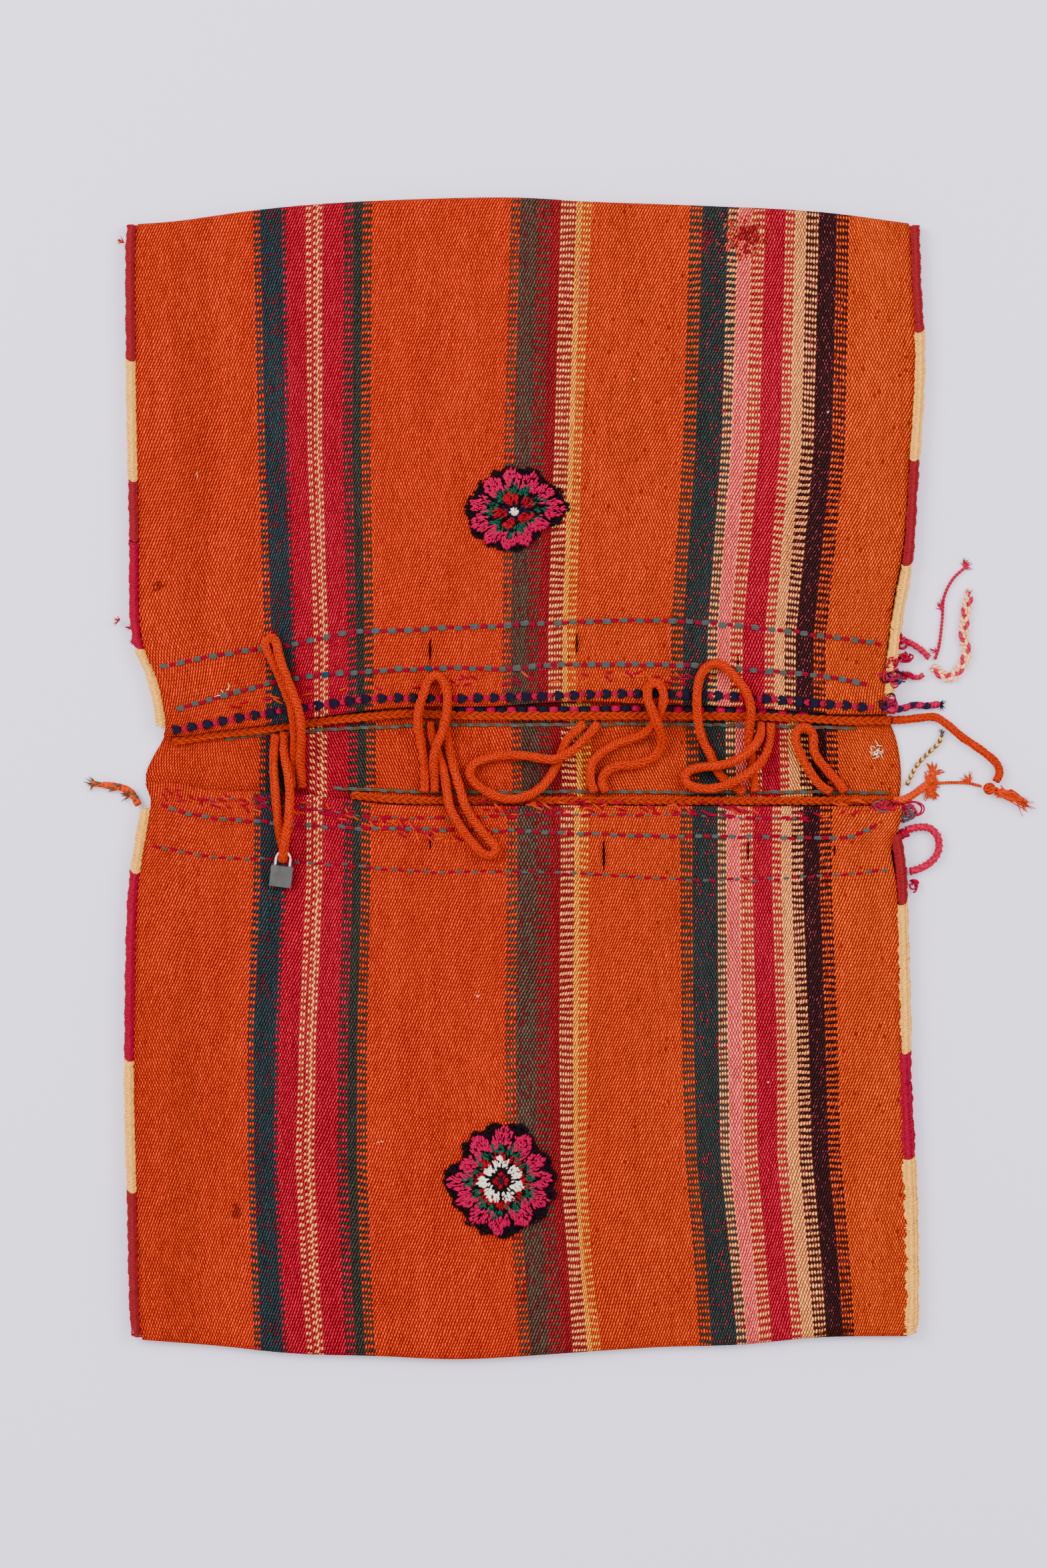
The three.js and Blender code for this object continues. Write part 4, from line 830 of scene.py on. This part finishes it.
RINGS = {  # from and to as shares of the outline, tufts per square mm, colour number, height, lobes, how closed, turn
    "upper_rosette": [
        (0.0, 0.07, 0.8, 4, 5.0, 0, 2, 0), (0.08, 0.24, 0.8, 5, 4.0, 4, 0.4, 0.2), (0.17, 0.4, 0.75, 3, 4.4, 5, 0.45, 1.9),
        (0.34, 0.62, 0.5, 2, 4.0, 9, 0.8, 0.4), (0.56, 0.86, 0.52, 1, 5.0, 11, 0.88, 0)],
    "lower_rosette": [
        (0.0, 0.05, 0.8, 5, 4.8, 0, 2, 0), (0.05, 0.13, 0.6, 3, 4.0, 4, 0.8, 0), (0.13, 0.24, 0.5, 0, 4.0, 4, 0.8, 0.8),
        (0.22, 0.38, 0.55, 4, 4.8, 7, 0.8, 0.3), (0.35, 0.48, 0.5, 3, 4.4, 8, 0.85, 0), (0.46, 0.62, 0.5, 2, 4.4, 9, 0.8, 0.4),
        (0.58, 0.85, 0.52, 1, 5.2, 12, 0.88, 0)],
}


def rosette(name, centre, outline):
    """Pile and tufts inside a closed outline about a centre."""
    ring = smooth([*outline, outline[0], outline[1]], 1.0)
    angles = np.arctan2(ring[:, 1], ring[:, 0])
    order = np.argsort(angles)
    reach = lambda a: np.interp(a, angles[order], np.linalg.norm(ring, axis=1)[order], period=2 * math.pi)
    area = 0.5 * float(np.mean(reach(np.linspace(0, 2 * math.pi, 200)) ** 2)) * 2 * math.pi
    base, flower = [], []
    a = np.linspace(0, 2 * math.pi, 41)[:-1]
    for r0, r1, z0, z1 in ((0.02, 0.5, 3.2, 3.0), (0.5, 0.84, 3.0, 2.0), (0.84, 0.95, 2.0, 0.2)):
        inner = np.stack([centre[0] + reach(a) * r0 * np.cos(a), centre[1] + reach(a) * r0 * np.sin(a), np.full(40, FLAP_TOP + z0)], axis=1)
        outer = np.stack([centre[0] + reach(a) * r1 * np.cos(a), centre[1] + reach(a) * r1 * np.sin(a), np.full(40, FLAP_TOP + z1)], axis=1)
        k = np.arange(40)
        quads = np.stack([k, k + 40, (k + 1) % 40 + 40, (k + 1) % 40], axis=1)
        base.append((np.concatenate([inner, outer]), quads, np.zeros((40, 4, 3)), 0))
    for n in range(round(area * 0.55)):
        a = rng.uniform(0, 2 * math.pi)
        share = math.sqrt(rng.uniform(0.02, 1.0))
        r = reach(a) * share * (0.97 + 0.045 * math.sin(13 * a + 2 * math.sin(3 * a)))
        foot = np.array([centre[0] + r * math.cos(a), centre[1] + r * math.sin(a), FLAP_TOP + 0.5 + 2.6 * (1 - share**3)])
        lean = a + rng.normal(0, 1.1)
        out = np.array([math.cos(lean), math.sin(lean), 0])
        far = rng.uniform(0.4, 1.5)
        lump = np.array([foot, foot + out * far * 0.5 + [0, 0, 0.8], foot + out * far + [0, 0, rng.uniform(0.2, 0.9)]])
        base.append(tube(lump, np.array([1.0, 1.2, 0.6]), None, 4, 1.0, n, 0))
        if n % 3 == 0 and share > 0.75:
            hair = np.array([foot, foot + out * 1.4 + [0, 0, 0.8], foot + out * rng.uniform(2, 3.6) + [0, 0, 0.2]])
            base.append(tube(hair, np.array([0.2, 0.16, 0.07]), None, 4, 1.0, n, 0))
    for low, high, density, colour, top, lobes, closed, turn in RINGS[name]:
        for n in range(max(6, round(area * (high**2 - low**2) * density))):
            a = rng.uniform(0, 2 * math.pi)
            petal = math.cos(lobes * a + turn * lobes + 0.8 * math.sin(2 * a + lobes)) if lobes else 1
            share = math.sqrt(rng.uniform(low**2, high**2)) * (1 + 0.09 * petal)
            if petal < -closed + rng.normal(0, 0.1):
                continue
            r = reach(a) * share
            fan = 0.5 * math.sin(lobes * a + turn * lobes) / 2
            place = np.array([centre[0] + r * math.cos(a), centre[1] + r * math.sin(a)])
            flower += stitch(place, a + fan + rng.normal(0, 0.22), rng.uniform(2.6, 4.2), 1.2, top - 2.4 + rng.normal(0, 0.4), 1, n + 50 * colour, colour, FLAP_TOP + 2.4 + 0.6 * (1 - share), steps=5)
    return base, flower


for name, (centre, outline) in ROSETTES.items():
    base, flower = rosette(name, centre, outline)
    piece(name + "_black_pile", base, [black_pile], [name + "_pile"])
    piece(name + "_tufts", flower, [black_pile, hot_pink, emerald, petal_red, white_wool, navy_wool], [name + "_flower"])

# ---- free ends at the sides --------------------------------------------------------------------
# The base cords, bindings and stitched rows run out past the edges of the cloth as braids, twists and
# wrapped straps. They end in knots and in frayed wool.

tail_wool = plied_wool("orange_unravelled_wool", "#c43400", "#691a10", 2, 4, 0.3)
cream_tail = plied_wool("cream_and_pink_wool_braid", "#ffb781", "#7b483d", 2, 4, 0.3)


def twist(line, radius, pitch, number=0.0, materials=(0, 0), sides=8):
    """Two yarns twisted together about a line."""
    tangent, upper, side = frames(line)
    along = np.concatenate([[0], np.cumsum(np.linalg.norm(np.diff(line, axis=0), axis=1))])
    parts = []
    for k in (0, 1):
        angle = 2 * math.pi * along / pitch + k * math.pi
        out = np.cos(angle)[:, None] * upper + np.sin(angle)[:, None] * side
        parts.append(tube(line + out * radius * 0.5, radius * 0.56, out, sides, 1.0, number + k, materials[k]))
    return parts


def wrapped(line, radius, pitch, number=0.0, material=0):
    """A core closely wrapped with one yarn."""
    fine = smooth(line, 0.45)
    tangent, upper, side = frames(fine)
    along = np.arange(len(fine)) * length_of(fine) / (len(fine) - 1)
    angle = 2 * math.pi * along / pitch
    out = np.cos(angle)[:, None] * upper + np.sin(angle)[:, None] * side
    coil = tube(fine + out * radius * 0.72, radius * 0.3, out, 6, 0.9, number, material)
    return [tube(line, radius * 0.74, None, 8, 1.0, number, material), coil]


def frayed(place, heading, count, long, spread, thick=0.35, number=0.0, materials=(0,), droop=0.6, level=0.6):
    """Loose yarns and hairs that fan out from a cut end and come to rest on what is below."""
    parts = []
    for n in range(count):
        a = heading + rng.normal(0, spread)
        reach = long * rng.uniform(0.55, 1.1)
        bend = rng.normal(0, 0.5)
        t = np.linspace(0, 1, 6)
        turn = a + bend * t
        path = np.stack([np.cumsum(np.cos(turn)), np.cumsum(np.sin(turn)), np.zeros(6)], axis=1) * reach / 6
        path -= path[0]
        path[:, 2] = (level - place[2]) * droop * t + rng.normal(0, 0.5) * t + rng.normal(0, 0.3)
        path += place
        path[:, 2] = np.maximum(path[:, 2], level)
        parts.append(tube(path, thick * np.array([1, 1.1, 1, 0.9, 0.7, 0.3]), None, 4, 1.0, number + n, int(rng.choice(materials))))
    return parts


def free_cord(name, node, line, parts, materials, with_pieces=(), frays=()):
    """A free cord and the frayed wool on it."""
    made = piece(name, parts, materials, [node])
    if frays:
        with_pieces = [*with_pieces, piece(node + "_frays", list(frays), materials)]
    long = length_of(line) * MM
    return made


KNOT = np.array([383.4, -8.6, 5.5])
a = np.linspace(0, 2 * math.pi, 26)
turns = []
for k in range(3):
    c, s = np.cos(a), np.sin(a)
    loop = np.stack([c * 3.4, s * 3.2 * math.cos(k * 1.1), s * 3.2 * math.sin(k * 1.1) + 0.5 * np.sin(2 * a)], axis=1)
    turns.append(tube(KNOT + loop, 1.9, None, 8, 1.0, k, 0))
knot = piece("tail_knot_turns", turns, [orange_braid], ["tail_knot"])
line = smooth([(390, -11.5, 4.5), (403.5, -15, 4.5), (414.5, -21, 4.5)], 1.2)
parts = []
for n in range(46):
    start = line[0] + rng.normal(0, [1.6, 1.8, 1.2])
    bend = smooth([start, line[len(line) // 2] + rng.normal(0, [1, 2.6, 1.6]), line[-1] + rng.normal(0, [3.2, 3.6, 1.6])], 3.0)
    bend[:, 2] = np.clip(bend[:, 2], 0.7, 9)
    parts.append(tube(bend, 0.75 * np.linspace(1, 0.45, len(bend)), None, 6, 1.0, n, 0))
tassel = piece("tail_tassel_yarns", parts, [tail_wool], ["tail_tassel"])
line = smooth([
    (303.5, 48, 6.1), (314, 48.5, 5.6), (326.5, 50, 4.2), (339, 50.5, 3.7), (350, 43.5, 3.7), (360.5, 34.5, 3.7),
    (371.5, 27, 3.7), (382.5, 19, 3.7), (390, 11.5, 3.7), (392, 4, 3.7), (389, -2.5, 3.7)], 1.2)
free_cord("upper_orange_tail_braid", "upper_orange_tail", line, round_braid(line, 3.4, 24, 12, 200) + fuzz(line, 3.2, 90), [orange_braid], [knot, tassel])

line = smooth([(304, -18.5, 5.9), (312, -17.6, 5.8), (319, -14.5, 4.2), (325, -10.5, 3.4), (333, -4.5, 3.4)], 1.2)
frays = []
for place, heading, count in (((331, -4.5, 3), 0.6, 54), ((336, 2, 2), 1.0, 24), ((333, -8, 3), -0.6, 44)):
    frays += frayed(np.array(place), heading, count, 14, 0.42, 0.75, 220)
free_cord("lower_orange_tail_braid", "lower_orange_tail", line, round_braid(line, 3.3, 24, 12, 210), [tail_wool], frays=frays)

line = smooth([(336.5, -4.5, 1.6), (351, -3.5, 1.6), (366.5, -4, 1.6), (377, -6.5, 1.8)], 0.8)
frays = frayed(np.array([368.0, -3.0, 2.0]), 2.4, 14, 11, 0.7, 0.5, 240)
free_cord("thin_orange_cord_twist", "thin_orange_cord", line, twist(line, 1.5, 5, 230), [tail_wool], frays=frays)

line = smooth([(315.5, -5.5, 2.3), (323.5, 10, 2.3), (333, 20.5, 2.3), (342, 29.5, 2.3), (344.5, 36, 2.3)], 0.8)
parts = round_braid(line, 1.9, 11, 8, 250, (0, 1, 0, 1, 0, 1, 2, 1))
frays = frayed(line[-1], 1.1, 14, 7, 0.4, 0.35, 260, (0, 2))
free_cord("brown_cream_twist_cord", "brown_cream_twist", line, parts, [brown_wool, cream_wool, grey_wool], frays=frays)

line = smooth([(294.5, 56.8, 14.6), (303, 56.5, 15), (312, 57.8, 10), (321, 60.5, 3.5), (333, 60, 2.8), (342, 61.5, 2.8)], 0.8)
parts = round_braid(line, 2.7, 14, 4, 270, (0, 1))
frays = frayed(line[-1], 0.1, 22, 8, 0.45, 0.45, 280, (0,))
free_cord("navy_pink_braid_cord", "navy_pink_braid", line, parts, [navy_wool, pink_wool], frays=frays)

STRAPS = {
    "red_wrapped_strap": (3.0, [(311.6, 114.5, 5.2), (319, 111.5, 3.6), (328, 105.5, 3.3), (334, 99.5, 3.3)]),
    "red_wrapped_strap_lower": (2.6, [(307.5, 84.5, 5), (315, 86.5, 3.2), (323, 83, 2.9), (329.5, 85.5, 2.9)]),
    "crimson_wrapped_ring": (3.6, [
        (314.5, -43, 3.9), (324, -40.5, 3.9), (334, -41, 3.9), (341, -48.5, 3.9), (341.5, -60, 3.9), (335.5, -69, 3.9),
        (326, -74.5, 3.9), (318, -77, 3.9)]),
}
strap_wool = plied_wool("bright_crimson_wrapping_wool", "#b80a38", "#5c0a1c", 2, 4, 0.3)
for name, (thick, route) in STRAPS.items():
    line = smooth(route, 1.0)
    free_cord(name + "_yarn", name, line, wrapped(line, thick, thick * 0.56, 300) + fuzz(line, thick, 60, 300), [strap_wool])

line = smooth([
    (337, 92.5, 2.7), (344, 86, 2.7), (351.5, 83, 2.7), (358.5, 90, 2.7), (365, 102.5, 2.7), (362.5, 116, 2.7),
    (363.5, 131.5, 2.7), (366.5, 150, 2.7)], 1.0)
parts = flat_plait(line, 8.6, 20, 310, (0, 1, 0)) + fuzz(line, 3.2, 60, 310, 1, 1.3)
frays = frayed(line[-1], 1.6, 10, 9, 0.4, 0.5, 320, (0, 1))
free_cord("red_cream_braid_cord", "red_cream_braid", line, parts, [cream_tail, strap_wool], frays=frays)

line = smooth([(339, 98.5, 1.4), (342, 108, 1.4), (345, 131.5, 1.4), (346.5, 150, 1.4), (354, 165, 1.4), (363, 173.5, 1.4)], 0.9)
frays = frayed(line[-1], 1.2, 16, 10, 0.5, 0.5, 331) + frayed(line[len(line) // 2], 1.8, 12, 12, 0.5, 0.5, 332) + frayed(line[8], 2.2, 8, 9, 0.6, 0.45, 333)
free_cord("loose_red_yarn_twist", "loose_red_yarn", line, twist(line, 1.5, 6, 330), [strap_wool], frays=frays)

line = smooth([(-319.5, -21.5, 3.5), (-325, -12, 3.5), (-332, -8, 3.5), (-342.5, -6, 3.5), (-352, -5, 3.5), (-358, -4, 3.5)], 1.0)
frays = []
for place, heading in ((line[8], 2.9), (line[20], 3.0), (line[-6], 3.1)):
    frays += frayed(place, heading, 16, 14, 0.3, 0.55, 350, (0, 1, 1, 2))
free_cord("left_frayed_tail_wool", "left_frayed_tail", line, round_braid(line, 3.0, 16, 6, 340, (1, 1, 0), taper=14), [brown_wool, tail_wool, grey_wool], frays=frays)

def tangle(x, y, level, wide, long, count, thick, number, materials):
    """Yarn ends that curl over each other in a heap."""
    parts = []
    for n in range(count):
        a = rng.uniform(0, 2 * math.pi) + np.linspace(0, rng.uniform(2.5, 6), 7)
        path = np.stack([np.cos(a) * wide * rng.uniform(0.15, 0.5), np.sin(a) * long * rng.uniform(0.15, 0.5), rng.uniform(0, 3.2, 7)], axis=1)
        path += [x + rng.normal(0, wide * 0.2), y + rng.normal(0, long * 0.2), level]
        parts.append(tube(smooth(path, 1.8), thick, None, 4, 1.0, number + n, int(rng.choice(materials))))
    return parts


# Where the rows and the bindings end at the mouths, their yarns are knotted together.
parts = tangle(304, 96, 11, 9, 9, 7, 0.9, 500, (0,)) + tangle(303, 83, 11, 14, 9, 16, 0.8, 510, (0, 1, 2, 3)) + tangle(300, 62, 12, 11, 12, 16, 0.8, 530, (0, 1, 2, 2))
parts += tangle(312, 100, 5, 12, 8, 10, 0.9, 600, (0,)) + tangle(312, 84, 4, 14, 8, 10, 0.8, 620, (0, 0, 1))
parts += tangle(296, -22, 10, 18, 9, 14, 0.8, 550, (0, 0, 4)) + tangle(313, -26, 4, 22, 12, 26, 0.8, 570, (0, 0, 1, 4)) + tangle(312, -46, 5, 8, 8, 10, 0.9, 640, (0,)) + tangle(312, -78, 5, 9, 8, 12, 0.8, 660, (0, 1)) + tangle(321, -90, 3, 9, 10, 5, 0.8, 680, (0, 1)) + tangle(307, 114, 6, 9, 12, 16, 1.2, 690, (0, 0, 0, 1))
piece("knotted_yarn_ends", parts, [crimson_wool, pink_wool, navy_wool, teal_wool, grey_wool])

parts = []
for place, heading, count, long in (
    ((-331, 442, 7), 2.4, 12, 7), ((-334, 131, 6), 3.4, 8, 8), ((-324, 124, 5), 2.9, 6, 7), ((-322, 112, 5), 2.8, 9, 6),
):
    parts += frayed(np.array(place), heading, count, long, 0.5, 0.5, 400, (0, 0, 1), 0.3, 3.0)
piece("loose_binding_ends", parts, [crimson_wool, tail_wool])

# White lint from other wool clings to the cloth.
white_lint = plied_wool("white_cotton_lint", "#f4ecd8", "#b8a898", 2, 3, 0.1)
parts = []
for x, y, count, long in ((-251, 74, 3, 9), (292, 23, 18, 7), (250, 300, 2, 3), (-120, -300, 2, 3), (90, 330, 2, 2.5), (-40, -180, 2, 3), (200, -250, 2, 2.5), (-270, 250, 2, 2.5)):
    level = CLOTH + 0.6 if abs(y) < 30 else FLAP_TOP + 0.8
    for place in rng.normal((x, y), long * 0.3, (count, 2)):
        parts += frayed(np.array([*place, level]), rng.uniform(0, 6.3), 1, long, 0.6, 0.28, 0, (0,), 0, level)
piece("white_lint_hairs", parts, [white_lint])

# ---- padlock -----------------------------------------------------------------------------------
# A small steel padlock hangs in the longest loop: a worn dull body, a bright plated shackle and a
# brass plug in its lower end. These are the CAD parts, with the body's edges rounded.

worn_steel, tree, shader = new_material("worn_dull_steel_sheet")  # scuffed grey metal with faint brown stain
place = add(tree, "TexCoord").outputs["Object"]
stain = add(tree, "TexNoise", {"Vector": place, "Scale": 160.0, "Detail": 4.0}).outputs["Fac"]
scuffs = add(tree, "TexNoise", {"Vector": place, "Scale": 1400.0, "Detail": 3.0}).outputs["Fac"]
tree.links.new(blend(tree, maths(tree, "MULTIPLY", maths(tree, "POWER", stain, 3.0), 1.6), rgb("#4a4b4b"), rgb("#332c26")), shader.inputs["Base Color"])
tree.links.new(maths(tree, "MULTIPLY_ADD", scuffs, 0.3, 0.4), shader.inputs["Roughness"])
tree.links.new(add(tree, "Bump", {"Strength": 0.3, "Distance": 0.05 * MM, "Height": scuffs}).outputs[0], shader.inputs["Normal"])
shader.inputs["Metallic"].default_value = 0.45
plated, tree, shader = new_material("bright_plated_steel_rod")  # a mirror that shows the pale room
shader.inputs["Base Color"].default_value = rgb("#e9e9ec")
shader.inputs["Metallic"].default_value = 1.0
shader.inputs["Roughness"].default_value = 0.18
brass, tree, shader = new_material("turned_brass_plug")  # a small warm disc in the lower end
shader.inputs["Base Color"].default_value = rgb("#b59a55")
shader.inputs["Metallic"].default_value = 1.0
shader.inputs["Roughness"].default_value = 0.35
LOCK = {"padlock_body": (worn_steel, "padlock_steel"), "padlock_shackle": (plated, "shackle_steel"), "padlock_key_plug": (brass, "plug_brass")}
for name, (material, slot) in LOCK.items():
    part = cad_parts[name]
    part.data.materials.clear()
    part.data.materials.append(material)
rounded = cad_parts["padlock_body"].modifiers.new("worn_edges", "BEVEL")
rounded.width, rounded.segments, rounded.limit_method = 0.2 * MM, 2, "ANGLE"
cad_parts["padlock_shackle"].data.shade_smooth()

# ---- floor and light ---------------------------------------------------------------------------
# A plain pale grey floor in soft, even studio light from all sides, so that shadows are faint.

floor_paint, tree, shader = new_material("matt_pale_grey_floor")
shader.inputs["Base Color"].default_value = rgb("#dbd4ea")
shader.inputs["Roughness"].default_value = 1.0
shader.inputs["Specular IOR Level"].default_value = 0.0
mesh = bpy.data.meshes.new("studio_floor")
mesh.from_pydata([(-4, -4, -0.0006), (4, -4, -0.0006), (4, 4, -0.0006), (-4, 4, -0.0006)], [], [(0, 1, 2, 3)])
mesh.materials.append(floor_paint)
floor = bpy.data.objects.new("studio_floor", mesh)
bpy.context.scene.collection.objects.link(floor)
floor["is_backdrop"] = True

world = bpy.data.worlds.new("white_studio")
bpy.context.scene.world = world
world.use_nodes = True
world.node_tree.nodes["Background"].inputs["Color"].default_value = (1, 1, 1, 1)
world.node_tree.nodes["Background"].inputs["Strength"].default_value = 1.65
for name, place, size, power in (
    ("softbox_left", (-2.2, 1.2, 2.4), 1.6, 130),
    ("softbox_right", (2.2, 1.0, 2.4), 1.6, 80),
):
    light = bpy.data.lights.new(name, "AREA")
    light.shape, light.size, light.energy = "SQUARE", size, power
    made = bpy.data.objects.new(name, light)
    made.location = place
    made.rotation_euler = (Vector((0, 0, 0)) - Vector(place)).to_track_quat("-Z", "Y").to_euler()
    bpy.context.scene.collection.objects.link(made)

bpy.context.view_layer.update()
plain = lambda bounds: [[float(c) for c in corner] for corner in bounds]
{"cad": plain(cad_bounds), "scene": plain(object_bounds())}
